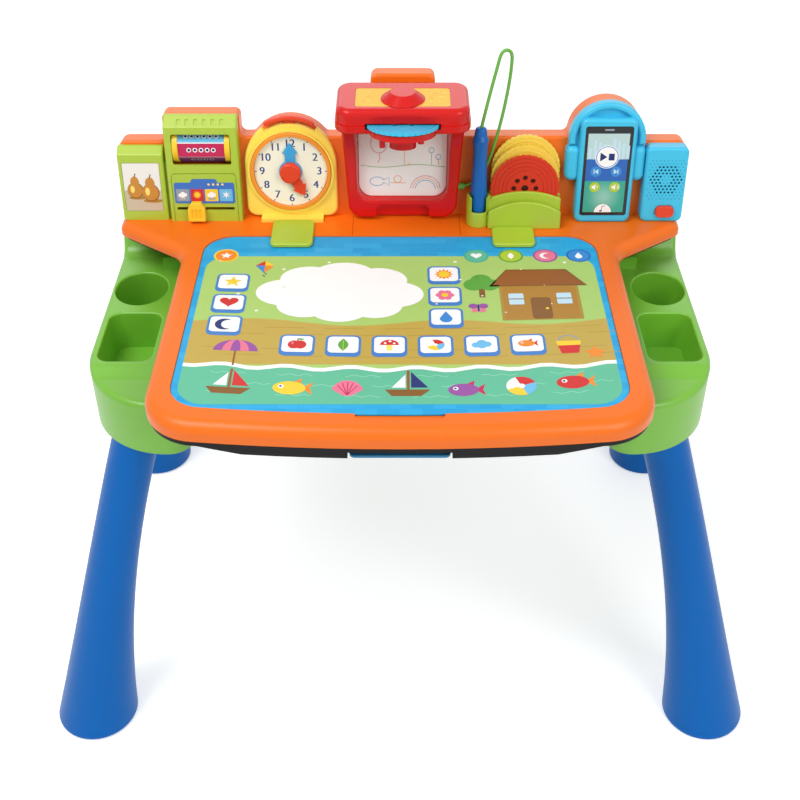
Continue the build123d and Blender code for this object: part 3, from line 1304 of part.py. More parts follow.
with BuildPart() as projector_lid:
    with BuildSketch(Plane.XY.offset(LID_SEAM_Z)):
        add(lid_full)
    extrude(amount=LID_Z - LID_SEAM_Z)
    fillet(projector_lid.faces().sort_by(Axis.Z)[-1].edges(), radius=LID_EDGE_R)
    with BuildSketch(Plane.XY.offset(LID_SEAM_Z)):
        add(head_hollow)
    extrude(amount=LID_Z - LID_SEAM_Z - WALL, mode=Mode.SUBTRACT)
    with BuildSketch(Plane.XY.offset(LID_Z)):
        rect(PROJECTOR_X - LABEL_HALF, PROJECTOR_X + LABEL_HALF, LABEL_Y0, LABEL_Y1, 3)
    extrude(amount=-0.6, mode=Mode.SUBTRACT)
    with BuildSketch(Plane.XY.offset(LID_Z)):
        with Locations((PROJECTOR_X, DIAL_Y)):
            Circle(KNOB_SHAFT_R + PLAY)
    extrude(amount=-2 * WALL, mode=Mode.SUBTRACT)
    with BuildSketch(DISC_PLANE.offset(-DISC_THICK / 2 - GAP)):
        Circle(DISC_R + 1.8)
    extrude(amount=DISC_THICK + 4 * GAP, mode=Mode.SUBTRACT)
    cut_notch()
save(projector_lid, "projector_lid")

with BuildPart() as lid_label:
    with BuildSketch(Plane.XY.offset(LID_Z - 0.6)):
        rect(
            PROJECTOR_X - LABEL_HALF + GAP, PROJECTOR_X + LABEL_HALF - GAP,
            LABEL_Y0 + GAP, LABEL_Y1 - GAP, 3 - GAP,
        )
        with Locations((PROJECTOR_X, DIAL_Y)):
            Circle(KNOB_SHAFT_R + 1, mode=Mode.SUBTRACT)
    extrude(amount=0.5)
save(lid_label, "lid_label")

with BuildPart() as projector_dial:
    with BuildSketch(Plane.XY.offset(LID_Z + GAP)):
        with Locations((PROJECTOR_X, DIAL_Y)):
            Circle(KNOB_R)
    with BuildSketch(Plane.XY.offset(LID_Z + GAP + KNOB_HEIGHT)):
        with Locations((PROJECTOR_X, DIAL_Y)):
            Circle(KNOB_TOP_R)
    loft()
    fillet(projector_dial.faces().sort_by(Axis.Z)[-1].edges(), radius=1)
    with BuildSketch(Plane.XY.offset(LID_Z + GAP)):
        with Locations((PROJECTOR_X, DIAL_Y)):
            Circle(KNOB_SHAFT_R)
    extrude(amount=-WALL - GAP - 1)
save(projector_dial, "projector_dial")

with BuildPart() as lens_barrel:
    with BuildSketch(DISC_PLANE.offset(-DISC_THICK / 2 - GAP - BOWL_DEPTH)):
        with Locations((0, IMAGE_RING_R)):
            Circle(LENS_R + 3)
            Circle(LENS_R, mode=Mode.SUBTRACT)
    extrude(amount=-14)
save(lens_barrel, "lens_barrel")

with BuildPart() as projection_lens:
    with BuildSketch(DISC_PLANE.offset(-DISC_THICK / 2 - GAP - 17)):
        with Locations((0, IMAGE_RING_R)):
            Circle(LENS_R)
    extrude(amount=2)
save(projection_lens, "projection_lens")

with BuildPart() as projector_lamp:
    lamp_y = DISC_PLANE.from_local_coords((0, IMAGE_RING_R, 0)).Y
    with BuildSketch(Plane.XY.offset(LID_Z - WALL)):
        with Locations((PROJECTOR_X, lamp_y)):
            Circle(2)
    extrude(amount=-5)
save(projector_lamp, "projector_lamp")


# Picture discs
def make_disc(plane):
    """Toothed picture disc centred on the plane's origin, with its image windows."""
    with BuildPart() as disc:
        with BuildSketch(plane.offset(-DISC_THICK / 2)):
            Circle(DISC_R)
            with PolarLocations(DISC_R + TOOTH_R * 0.3, DISC_TEETH):
                Circle(TOOTH_R, mode=Mode.SUBTRACT)
            Circle(DISC_HOLE_R, mode=Mode.SUBTRACT)
            with PolarLocations(IMAGE_RING_R, IMAGE_COUNT):
                Circle(IMAGE_R, mode=Mode.SUBTRACT)
        extrude(amount=DISC_THICK)
        # Concentric grooves on the face, drawn from the rim inwards
        with BuildSketch(plane.offset(DISC_THICK / 2)):
            for radius in DISC_GROOVES:
                Circle(radius + DISC_GROOVE_WIDTH)
                Circle(radius, mode=Mode.SUBTRACT)
        extrude(amount=-DISC_GROOVE_DEPTH, mode=Mode.SUBTRACT)
    return disc


def panel_spot(x, up, out):
    """Plane parallel to the panel with its origin at a place on it."""
    return Plane(origin=PANEL.from_local_coords((x, up, out)), x_dir=PANEL.x_dir, z_dir=PANEL.z_dir)


save(make_disc(DISC_PLANE), "image_disc")
save(make_disc(panel_spot(RED_X, RED_UP, RED_OUT)), "red_disc")
save(make_disc(panel_spot(YELLOW_FRONT_X, YELLOW_FRONT_UP, YELLOW_FRONT_OUT)), "yellow_disc_front")
save(make_disc(panel_spot(YELLOW_BACK_X, YELLOW_BACK_UP, YELLOW_BACK_OUT)), "yellow_disc_back")


# Disc rack with the pen cup
def arch(crown_up, side_up):
    """Sketch of a rack wall: straight sides and a crown that curves between them."""
    with BuildSketch() as wall:
        with BuildLine():
            Line((RACK_X0, UNDER_UP), (RACK_X1, UNDER_UP))
            Line((RACK_X1, UNDER_UP), (RACK_X1, side_up))
            ThreePointArc((RACK_X1, side_up), ((RACK_X0 + RACK_X1) / 2, crown_up), (RACK_X0, side_up))
            Line((RACK_X0, side_up), (RACK_X0, UNDER_UP))
        make_face()
    return wall.sketch


# Walls of the rack: from and to out, and how high the crown and the sides reach
RACK_WALLS = [
    (0, 6.75, 33, 24),
    (6.75, 12.2, 31, 24),
    (12.2, 20, 28.6, 22.3),
    (20, 22.5, 17, 8),
    (22.5, 26, 21.3, 12.1),
]
rack_arches = [arch(crown_up, side_up) for _, _, crown_up, side_up in RACK_WALLS]
DISC_SEATS = [
    (RED_X, RED_UP, RED_OUT),
    (YELLOW_FRONT_X, YELLOW_FRONT_UP, YELLOW_FRONT_OUT),
    (YELLOW_BACK_X, YELLOW_BACK_UP, YELLOW_BACK_OUT),
]

with BuildPart() as disc_rack:
    for (out0, out1, _, _), shape in zip(RACK_WALLS, rack_arches):
        with BuildSketch(PANEL.offset(out0)):
            add(shape)
        extrude(amount=out1 - out0)
    for x, up, out in DISC_SEATS:
        with BuildSketch(PANEL.offset(out - DISC_THICK / 2 - GAP)):
            with Locations((x, up)):
                Circle(DISC_R + GAP)
            rect(x - DISC_R - GAP, x + DISC_R + GAP, up, up + 40)
        extrude(amount=DISC_THICK + 2 * GAP, mode=Mode.SUBTRACT)
    # Round cup with a foot that reaches the panel
    cup_plane = Plane(
        origin=PANEL.from_local_coords((PEN_X, UNDER_UP, PEN_OUT)), x_dir=PANEL.x_dir, z_dir=PANEL.y_dir,
    )
    with BuildSketch(cup_plane):
        Circle(PEN_R + PEN_CUP_WALL)
    extrude(amount=PEN_CUP_UP - UNDER_UP)
    with BuildSketch(PANEL):
        rect(PEN_X - 8, PEN_X + 10, UNDER_UP, PEN_CUP_UP - 6)
    extrude(amount=PEN_OUT)
    with BuildSketch(cup_plane.offset(PEN_UP0 - UNDER_UP - GAP)):
        Circle(PEN_R + GAP)
    extrude(amount=PEN_CUP_UP, mode=Mode.SUBTRACT)
    # Notch in the front of the cup
    with BuildSketch(cup_plane.offset(CUP_NOTCH_UP - UNDER_UP)):
        rect(-CUP_NOTCH_HALF, CUP_NOTCH_HALF, -2 * PEN_R, 0)
    extrude(amount=PEN_CUP_UP, mode=Mode.SUBTRACT)
    split(bisect_by=LEDGE, keep=Keep.TOP)
save(disc_rack, "disc_rack")

# Tether cord from the projector's side, behind the pen and over to the pen's top
CORD_SPOTS = [
    (52.5, 27.5, 3.75),
    (63, 28.5, 3.75),
    (73.5, 44, 6.2),
    (80.5, 66, 6.75),
    (86.5, 93, 6.75),
    (90, 115, 6.75),
    (91.6, 131, 7.8),
    (91.8, 146.5, 9),
    (83, 147.5, 10.8),
    (79.6, 133.5, 11.9),
    (74.2, 111, 13.3),
    (70.3, 93, 14.1),
    (PEN_X, PEN_UP1 - 2, PEN_OUT),
]
cord_points = [PANEL.from_local_coords(spot) for spot in CORD_SPOTS]


def bend_radii(points):
    """Bend radius at each inner point, from the shorter run beside it and the turn there."""
    radii = []
    for before, here, after in zip(points, points[1:], points[2:]):
        turn = (here - before).get_angle(after - here)
        radii.append(0.45 * min((here - before).length, (after - here).length) / tan(radians(turn / 2)))
    return radii


cord_radii = bend_radii(cord_points)
print("cord bend radii in mm:", [round(radius, 1) for radius in cord_radii])

with BuildPart() as tether_cord:
    with BuildLine() as cord_path:
        FilletPolyline(cord_points, radius=cord_radii)
    with BuildSketch(Plane(origin=cord_path.line @ 0, z_dir=cord_path.line % 0)):
        Circle(CORD_R)
    sweep(path=cord_path.line)
save(tether_cord, "tether_cord")

with BuildPart() as pen:
    with BuildSketch(side_plane(PEN_X)):
        with BuildLine():
            Polyline((PEN_OUT, PEN_UP0), (PEN_OUT + 2, PEN_UP0), (PEN_OUT + PEN_R - 1, PEN_UP0 + 7))
            Spline(
                (PEN_OUT + PEN_R - 1, PEN_UP0 + 7), (PEN_OUT + PEN_R, PEN_UP0 + 20),
                (PEN_OUT + PEN_R - 0.9, PEN_UP1 - 20), (PEN_OUT + PEN_R, PEN_UP1 - 11),
            )
            Line((PEN_OUT + PEN_R, PEN_UP1 - 11), (PEN_OUT + PEN_R - 1.6, PEN_UP1 - 7))
            Spline(
                (PEN_OUT + PEN_R - 1.6, PEN_UP1 - 7), (PEN_OUT + PEN_R - 2, PEN_UP1 - 3),
                (PEN_OUT + 2.5, PEN_UP1),
                tangents=[(0, 1), (-1, 0)],
            )
            Polyline((PEN_OUT + 2.5, PEN_UP1), (PEN_OUT, PEN_UP1), (PEN_OUT, PEN_UP0))
        make_face()
    revolve(axis=Axis(PANEL.from_local_coords((PEN_X, 0, PEN_OUT)), PANEL.y_dir))
    with BuildSketch(Plane(origin=cord_points[-1], z_dir=cord_points[-2] - cord_points[-1])):
        Circle(CORD_R + PLAY)
    extrude(amount=10, mode=Mode.SUBTRACT)
save(pen, "pen")

with BuildPart() as cord_grommet:
    grommet_plane = Plane(origin=cord_points[0], z_dir=cord_points[1] - cord_points[0])
    with BuildSketch(grommet_plane.offset(-3)):
        Circle(CORD_R + 1.6)
    extrude(amount=6)
    with BuildSketch(grommet_plane):
        Circle(CORD_R + PLAY)
    extrude(amount=10, mode=Mode.SUBTRACT)
    add(projector_frame.part, mode=Mode.SUBTRACT)
save(cord_grommet, "cord_grommet")


# Player
def player_shapes():
    """Sketches of the player's body, the headphone band and the two ear cups."""
    with BuildSketch() as body:
        rect(PLAYER_X0, PLAYER_X1, foot_up(PLAYER_OUT), PLAYER_UP, PLAYER_CORNER)
    with BuildSketch() as band:
        with Locations((BAND_X, BAND_UP)):
            Circle(BAND_R)
            Circle(BAND_R - BAND_WIDTH, mode=Mode.SUBTRACT)
        rect(BAND_X - 60, BAND_X + 60, BAND_UP - 60, BAND_UP - 4, mode=Mode.SUBTRACT)
    with BuildSketch() as left_ear:
        rect(BAND_X - EAR_REACH, PLAYER_X0 + 2, EAR_UP0, EAR_UP1, EAR_CORNER)
    with BuildSketch() as right_ear:
        rect(PLAYER_X1 - 2, SPEAKER_X0 - GAP, EAR_UP0, EAR_UP1, EAR_CORNER)
    return body.sketch, band.sketch, left_ear.sketch, right_ear.sketch


body_shape, band_shape, left_ear_shape, right_ear_shape = player_shapes()
player_slabs = [
    soft_slab(body_shape, PLAYER_OUT, PLAYER_EDGE_R),
    soft_slab(band_shape, BAND_OUT, BAND_EDGE_R),
    soft_slab(left_ear_shape, EAR_OUT, EAR_EDGE_R),
    soft_slab(right_ear_shape, EAR_OUT, EAR_EDGE_R),
]

with BuildPart() as player_housing:
    # Backing of the band, then the body, the band and the ear cups
    with BuildSketch(PANEL):
        with Locations((BAND_X, BAND_UP)):
            Circle(BAND_R)
        rect(BAND_X - BAND_R, BAND_X + BAND_R, EAR_UP0, BAND_UP, 5)
    extrude(amount=BACKING_OUT)
    for slab in player_slabs:
        add(slab)
    # Hollow back, recess of the printed front
    with BuildSketch(PANEL):
        rect(PLAYER_X0 + WALL, PLAYER_X1 - WALL, 6, PLAYER_UP - WALL, 4)
    extrude(amount=PLAYER_OUT - WALL - RECESS, mode=Mode.SUBTRACT)
    with BuildSketch(PANEL.offset(PLAYER_OUT)):
        rect(PLAYER_X0 + SCREEN_LEFT, PLAYER_X1 - SCREEN_RIGHT, SCREEN_UP0, SCREEN_UP1, SCREEN_CORNER)
    extrude(amount=-RECESS, mode=Mode.SUBTRACT)
    split(bisect_by=LEDGE, keep=Keep.TOP)
save(player_housing, "player_housing")

with BuildPart() as player_screen:
    with BuildSketch(PANEL.offset(PLAYER_OUT - RECESS)):
        rect(
            PLAYER_X0 + SCREEN_LEFT + GAP, PLAYER_X1 - SCREEN_RIGHT - GAP,
            SCREEN_UP0 + GAP, SCREEN_UP1 - GAP, SCREEN_CORNER - GAP,
        )
    extrude(amount=0.6)
save(player_screen, "player_screen")


# Speaker
def grille_spots():
    """Hexagonal pattern of grille holes with a blank centre."""
    spots = []
    for row in range(-5, 6):
        for column in range(-5, 6):
            x = (column + 0.5 * (row % 2)) * GRILLE_PITCH
            up = row * GRILLE_PITCH * 0.87
            reach = (x * x + up * up) ** 0.5
            if GRILLE_IN_R < reach < GRILLE_OUT_R:
                spots.append((GRILLE_X + x, GRILLE_UP + up))
    return spots


def button_shape(grow):
    """Round-cornered outline of the speaker's button, drawn out by grow."""
    with BuildSketch() as outline:
        rect(
            BUTTON_X - BUTTON_RX - grow, BUTTON_X + BUTTON_RX + grow,
            BUTTON_UP - BUTTON_RY - grow, BUTTON_UP + BUTTON_RY + grow, BUTTON_CORNER + grow,
        )
    return outline.sketch


with BuildSketch() as speaker_front:
    rect(SPEAKER_X0, SPEAKER_X1, foot_up(SPEAKER_OUT), SPEAKER_UP, SPEAKER_CORNER)
speaker_slab = soft_slab(speaker_front.sketch, SPEAKER_OUT, SPEAKER_EDGE_R)
button_face, button_hole = button_shape(0), button_shape(GAP)

with BuildPart() as speaker_housing:
    add(speaker_slab)
    with BuildSketch(PANEL):
        rect(SPEAKER_X0 + WALL, SPEAKER_X1 - WALL, 1, SPEAKER_UP - WALL, SPEAKER_CORNER - WALL)
    extrude(amount=SPEAKER_OUT - WALL, mode=Mode.SUBTRACT)
    with BuildSketch(PANEL):
        with Locations(*grille_spots()):
            Circle(GRILLE_HOLE_R)
        add(button_hole)
    extrude(amount=SPEAKER_OUT + 1, mode=Mode.SUBTRACT)
    split(bisect_by=LEDGE, keep=Keep.TOP)
save(speaker_housing, "speaker_housing")

with BuildPart() as speaker_driver:
    with BuildSketch(PANEL.offset(SPEAKER_OUT - WALL)):
        with Locations((GRILLE_X, GRILLE_UP)):
            Circle(14.5)
    extrude(amount=-3)
    with BuildSketch(PANEL.offset(SPEAKER_OUT - WALL - 3)):
        with Locations((GRILLE_X, GRILLE_UP)):
            Circle(13)
    extrude(amount=-6, taper=30)
    with BuildSketch(PANEL.offset(SPEAKER_OUT - WALL - 9)):
        with Locations((GRILLE_X, GRILLE_UP)):
            Circle(9)
    extrude(amount=-7)
save(speaker_driver, "speaker_driver")

with BuildPart() as speaker_button:
    with BuildSketch(PANEL.offset(SPEAKER_OUT - WALL - GAP)):
        add(button_face)
    extrude(amount=WALL + BUTTON_PROUD)
    with BuildSketch(PANEL.offset(SPEAKER_OUT - WALL - GAP)):
        rect(BUTTON_X - BUTTON_RX - 1.5, BUTTON_X + BUTTON_RX + 1.5, BUTTON_UP - 3, BUTTON_UP + 3)
    extrude(amount=-1.5)
save(speaker_button, "speaker_button")
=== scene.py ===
"""Looks of the learning desk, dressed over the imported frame.

Blender works in metres, in the frame's axes: X to the right, Y to the back, Z up. Places on the rear
panel are written in millimetres as (x, up, out) and places on the page as (x, y), as the part's source
has them.
"""

from math import cos, pi, radians, sin

import bpy
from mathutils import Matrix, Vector


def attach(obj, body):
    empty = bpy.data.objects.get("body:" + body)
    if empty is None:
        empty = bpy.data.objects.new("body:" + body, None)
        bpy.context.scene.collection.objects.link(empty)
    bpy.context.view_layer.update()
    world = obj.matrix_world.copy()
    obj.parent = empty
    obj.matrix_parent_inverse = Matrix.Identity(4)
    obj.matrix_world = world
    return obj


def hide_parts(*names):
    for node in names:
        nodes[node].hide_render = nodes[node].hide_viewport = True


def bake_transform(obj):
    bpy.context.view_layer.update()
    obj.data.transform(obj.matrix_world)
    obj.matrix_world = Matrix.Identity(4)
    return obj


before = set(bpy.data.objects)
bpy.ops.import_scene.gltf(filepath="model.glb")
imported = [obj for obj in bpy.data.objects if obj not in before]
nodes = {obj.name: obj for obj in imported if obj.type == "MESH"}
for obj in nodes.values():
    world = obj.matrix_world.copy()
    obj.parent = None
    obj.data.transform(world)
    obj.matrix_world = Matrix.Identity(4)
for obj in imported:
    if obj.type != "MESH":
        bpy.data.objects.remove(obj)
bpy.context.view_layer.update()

# Places and sizes on the desk, in millimetres and radians
MM = 0.001
DESK_Z = 402
PAGE_Z = 401
PAGE_X = 166
PAGE_Y0, PAGE_Y1 = -216.5, 25.5
PAGE_BOW = 10
PANEL_Y = 63
PANEL_LEAN = radians(7)
PANEL_UP = Vector((0, sin(PANEL_LEAN), cos(PANEL_LEAN)))
PANEL_OUT = Vector((0, -cos(PANEL_LEAN), sin(PANEL_LEAN)))
DRUM_X, DRUM_UP, DRUM_OUT = -169, 63.2, -2
DRUM_SIDES, DRUM_RADIUS = 7, 14.6
CLOCK_X, CLOCK_UP = -94, 42.5
PROJECTOR_X = 2.3
LABEL_Z = 521.9
KNOB_Y, KNOB_REACH = 38, 22
DISC_CENTRE = Vector((PROJECTOR_X, 22, 507.5))
DISC_LEAN = radians(9)
DISC_AXIS = Vector((0, sin(DISC_LEAN), cos(DISC_LEAN)))
SLOT_HALF, SLOT_REACH = 2.4, 31.2
RACK_DISC_X, RACK_DISC_UP = 107.3, 30.3
PLAYER_X = 176
SPEAKER_X, SPEAKER_UP = 228.5, 37

# Faces that carry a print: how far each stands out from the panel's plane, in millimetres
WEATHER_OUT = 12.4
PHOTO_OUT = 9.7
DIAL_OUT = 7.2
SHEET_OUT = 3.5
HOLE_FLOOR_OUT = 14.4
SCREEN_OUT = 14.8
SPEAKER_OUT = 13.5


def panel_point(x, up, out):
    """Place on the leaning rear panel, in metres."""
    return (Vector((x, PANEL_Y, DESK_Z)) + up * PANEL_UP + out * PANEL_OUT) * MM


def add_object(name, data):
    """New object in the scene."""
    thing = bpy.data.objects.new(name, data)
    bpy.context.scene.collection.objects.link(thing)
    return thing


def mesh_of(curve):
    """Mesh of a curve or a text as it stands."""
    carrier = bpy.data.objects.new(curve.name, curve)
    mesh = bpy.data.meshes.new_from_object(carrier)
    bpy.data.objects.remove(carrier)
    return mesh


# Materials
GLOSS_DRIFT = 0.06
RELIEF_STRENGTH = 0.5


def linear(srgb):
    """Screen colour from 0 to 255, as the linear colour that a shader takes."""
    channels = []
    for value in srgb:
        share = value / 255
        channels.append(share / 12.92 if share <= 0.04045 else ((share + 0.055) / 1.055) ** 2.4)
    return (*channels, 1.0)


def tinted(colour, factor):
    """The same colour, lighter or darker."""
    return (*[min(1.0, channel * factor) for channel in colour[:3]], 1.0)


def shader_of(material):
    """Main shader of a material."""
    return material.node_tree.nodes["Principled BSDF"]


def add_node(material, kind, **values):
    """New shader node with its named inputs set."""
    node = material.node_tree.nodes.new(kind)
    for name, value in values.items():
        node.inputs[name.replace("_", " ")].default_value = value
    return node


def add_math(material, operation, first, second):
    """Math node whose first input is linked and whose second is a number or a link."""
    node = material.node_tree.nodes.new("ShaderNodeMath")
    node.operation = operation
    material.node_tree.links.new(first, node.inputs[0])
    if isinstance(second, (int, float)):
        node.inputs[1].default_value = second
    else:
        material.node_tree.links.new(second, node.inputs[1])
    return node.outputs[0]


def add_place_math(material, operation, vector):
    """Number from a vector operation between the place on the surface and a fixed vector."""
    coords = add_node(material, "ShaderNodeTexCoord")
    node = material.node_tree.nodes.new("ShaderNodeVectorMath")
    node.operation = operation
    node.inputs[1].default_value = vector
    material.node_tree.links.new(coords.outputs["Object"], node.inputs[0])
    return node.outputs["Value"]


def add_mix(material, factor, first, second):
    """Colour mix of two colours or links by a linked factor."""
    node = material.node_tree.nodes.new("ShaderNodeMix")
    node.data_type = "RGBA"
    material.node_tree.links.new(factor, node.inputs["Factor"])
    for socket, colour in ((node.inputs[6], first), (node.inputs[7], second)):
        if isinstance(colour, tuple):
            socket.default_value = colour
        else:
            material.node_tree.links.new(colour, socket)
    return node.outputs[2]


def surface(name, srgb, roughness, drift, grain, shine=0.5):
    """Material with a slow drift of tint and gloss and a fine grain in relief.

    drift is the scale of the drift and the share by which it changes the tint; grain is the scale of the
    grain and its depth in millimetres.
    """
    material = bpy.data.materials.new(name)
    material.use_nodes = True
    link = material.node_tree.links.new
    shader = shader_of(material)
    shader.inputs["Specular IOR Level"].default_value = shine
    coords = add_node(material, "ShaderNodeTexCoord")
    drift_scale, drift_share = drift
    slow = add_node(material, "ShaderNodeTexNoise", Scale=drift_scale, Detail=4.0)
    link(coords.outputs["Object"], slow.inputs["Vector"])
    colour = linear(srgb)
    darker, lighter = tinted(colour, 1 - drift_share), tinted(colour, 1 + drift_share)
    link(add_mix(material, slow.outputs["Fac"], darker, lighter), shader.inputs["Base Color"])
    smooth, rough = roughness - GLOSS_DRIFT, roughness + GLOSS_DRIFT
    gloss = add_node(material, "ShaderNodeMapRange", To_Min=smooth, To_Max=rough)
    link(slow.outputs["Fac"], gloss.inputs["Value"])
    link(gloss.outputs["Result"], shader.inputs["Roughness"])
    grain_scale, grain_depth = grain
    fine = add_node(material, "ShaderNodeTexNoise", Scale=grain_scale, Detail=2.0)
    link(coords.outputs["Object"], fine.inputs["Vector"])
    relief = add_node(material, "ShaderNodeBump", Strength=RELIEF_STRENGTH, Distance=grain_depth * MM)
    link(fine.outputs["Fac"], relief.inputs["Height"])
    link(relief.outputs["Normal"], shader.inputs["Normal"])
    return material


def plastic(name, srgb, roughness=0.34, shine=0.4):
    """Moulded plastic with a faint spark-eroded grain."""
    return surface(name, srgb, roughness, drift=(9, 0.035), grain=(2600, 0.02), shine=shine)


INKS = {}
INK_ROUGHNESS = 0.4
INK_DRIFT = (60, 0.03)
INK_GRAIN = (4000, 0.008)
INK_COLOURS = {
    "white": (250, 250, 248),
    "paper": (240, 238, 233),
    "navy": (34, 48, 112),
    "number_blue": (42, 64, 138),
    "blue": (48, 104, 186),
    "tile_blue": (66, 128, 200),
    "mid_blue": (60, 140, 214),
    "sky": (110, 190, 232),
    "pale_sky": (196, 226, 240),
    "mint": (190, 216, 216),
    "teal": (76, 178, 150),
    "sea": (98, 188, 152),
    "sea_light": (140, 208, 178),
    "meadow": (172, 206, 112),
    "leaf": (92, 166, 62),
    "lime": (176, 204, 60),
    "sand": (194, 166, 76),
    "sand_dark": (172, 142, 58),
    "brown": (132, 88, 36),
    "tan": (176, 128, 48),
    "wood": (206, 190, 164),
    "gold": (204, 140, 58),
    "gold_dark": (150, 90, 36),
    "yellow": (246, 208, 56),
    "pale_yellow": (252, 226, 120),
    "orange": (240, 140, 44),
    "red": (208, 46, 44),
    "magenta": (197, 40, 90),
    "pink": (232, 120, 150),
    "purple": (152, 82, 160),
    "grey": (150, 160, 172),
    "line_green": (132, 186, 92),
    "line_orange": (236, 164, 92),
    "line_blue": (104, 168, 204),
    "line_pink": (222, 132, 142),
    # painted shade of the small steps in the ledge
    "seam": (196, 84, 12),
    # painted shade of the speaker's dimples
    "dimple": (40, 150, 192),
    # painted shade inside the red disc's holes
    "hole": (64, 18, 14),
}


def ink(name):
    """Print ink by its plain name, with a slight unevenness of the print."""
    if name not in INKS:
        colour = INK_COLOURS[name]
        INKS[name] = surface("ink_" + name, colour, INK_ROUGHNESS, INK_DRIFT, INK_GRAIN, shine=0.3)
    return INKS[name]


def projector_red(name):
    """Glossy red plastic of the projector."""
    return plastic(name, (212, 20, 16), roughness=0.2, shine=0.28)


ORANGE = plastic("orange_plastic", (240, 112, 18), shine=0.35)
CORAL = plastic("coral_plastic", (232, 70, 30))
RING_ORANGE = plastic("ring_orange_plastic", (244, 148, 40))
GREEN = plastic("green_plastic", (118, 186, 52), shine=0.6)
BLUE = plastic("blue_plastic", (2, 100, 182), roughness=0.36, shine=0.14)
PEN_BLUE = plastic("pen_blue_plastic", (20, 106, 192), roughness=0.3, shine=0.3)
DARK = plastic("dark_plastic", (18, 16, 17), roughness=0.5, shine=0.2)
BOARD = surface("chalkboard", (34, 48, 42), 0.75, drift=(14, 0.12), grain=(1800, 0.04))
PALE_GREEN = plastic("pale_green_plastic", (196, 222, 160), roughness=0.55)
LIME = plastic("lime_plastic", (172, 199, 52), shine=0.7)
YELLOW = plastic("yellow_plastic", (250, 206, 48))
CLOCK_YELLOW = plastic("clock_yellow_plastic", (254, 224, 90))
DISC_YELLOW = plastic("disc_yellow_plastic", (246, 212, 78), shine=0.55)
CREAM = surface("cream_dial", (248, 244, 222), 0.42, drift=(30, 0.02), grain=(3000, 0.01))
SHEET = surface("drawing_card", (250, 248, 244), 0.5, drift=(24, 0.02), grain=(2400, 0.02))
RED = projector_red("red_plastic")
DISC_RED = plastic("disc_red_plastic", (214, 52, 26))
HAND_RED = plastic("hand_red_plastic", (226, 62, 24))
LIGHT_BLUE = plastic("light_blue_plastic", (64, 194, 232))
HAND_BLUE = plastic("hand_blue_plastic", (60, 164, 218))
# Painted shade: the easel clip's light blue, darkened as it looks in shadow
CLIP_BLUE_PAINTED_SHADE = plastic("clip_blue_with_painted_shade", (44, 126, 172))
CORD_GREEN = plastic("cord_green", (104, 176, 66), roughness=0.45)
SCREEN = surface("player_front", (20, 22, 25), 0.2, drift=(40, 0.05), grain=(3000, 0.005))
LABEL = plastic("label_yellow", (240, 186, 40), roughness=0.42)
WEATHER = surface("weather_label", (58, 112, 196), 0.42, drift=(40, 0.04), grain=(3000, 0.008))
PHOTO = surface("photo_card", (214, 204, 186), 0.3, drift=(30, 0.04), grain=(3000, 0.008))
STEEL = surface("steel", (190, 190, 192), 0.32, drift=(40, 0.06), grain=(3200, 0.02))
shader_of(STEEL).inputs["Metallic"].default_value = 1.0
BOARD_GREEN = surface("circuit_board", (30, 92, 54), 0.5, drift=(60, 0.1), grain=(900, 0.05))
CLEAR = plastic("clear_lens", (226, 238, 246), roughness=0.1)
shader_of(CLEAR).inputs["Transmission Weight"].default_value = 0.8


def make_page_blue():
    """Blue border print with a faint pattern of bricks in nearby blues."""
    blue = (34, 162, 218)
    material = surface("page_border", blue, 0.38, drift=(30, 0.03), grain=(3600, 0.008), shine=0.25)
    coords = add_node(material, "ShaderNodeTexCoord")
    bricks = add_node(
        material, "ShaderNodeTexBrick",
        Scale=1.0, Mortar_Size=0.4 * MM, Brick_Width=16 * MM, Row_Height=7.5 * MM,
        Color1=linear((30, 158, 216)), Color2=linear((50, 176, 228)), Mortar=linear((38, 166, 221)),
    )
    material.node_tree.links.new(coords.outputs["Object"], bricks.inputs["Vector"])
    material.node_tree.links.new(bricks.outputs["Color"], shader_of(material).inputs["Base Color"])
    return material


def make_slotted_red():
    """Red plastic with a painted shade: dark inside the slot of the picture disc."""
    material = projector_red("red_plastic_with_painted_slot_shade")
    base = shader_of(material).inputs["Base Color"]
    red, dark = base.links[0].from_socket, linear((20, 10, 12))
    away = add_place_math(material, "DISTANCE", DISC_CENTRE * MM)
    height = add_place_math(material, "DOT_PRODUCT", DISC_AXIS)
    lift = add_math(material, "SUBTRACT", height, DISC_AXIS.dot(DISC_CENTRE) * MM)
    off_plane = add_math(material, "ABSOLUTE", lift, 0.0)
    in_gap = add_math(material, "LESS_THAN", off_plane, SLOT_HALF * MM)
    in_round = add_math(material, "LESS_THAN", away, SLOT_REACH * MM)
    inside = add_math(material, "MULTIPLY", in_gap, in_round)
    # Painted shade: the red turns dark within the disc's slot
    material.node_tree.links.new(add_mix(material, inside, red, dark), base)
    return material


def make_glow(name, edge, middle, place, reach):
    """Print with a painted glow: paler about one place."""
    material = surface(name, edge, INK_ROUGHNESS, INK_DRIFT, INK_GRAIN)
    link = material.node_tree.links.new
    share = add_node(material, "ShaderNodeMapRange", From_Max=reach)
    share.interpolation_type = "SMOOTHSTEP"
    link(add_place_math(material, "DISTANCE", place), share.inputs["Value"])
    colour = add_mix(material, share.outputs["Result"], linear(middle), linear(edge))
    link(colour, shader_of(material).inputs["Base Color"])
    return material


# Painted glow on the player's teal field, paler about its middle
INKS["teal_glow"] = make_glow(
    "ink_teal_glow", edge=(52, 168, 146), middle=(138, 200, 182),
    place=panel_point(PLAYER_X, 22, SCREEN_OUT), reach=17 * MM,
)
PAGE_BLUE = make_page_blue()
RED_WITH_PAINTED_SLOT_SHADE = make_slotted_red()

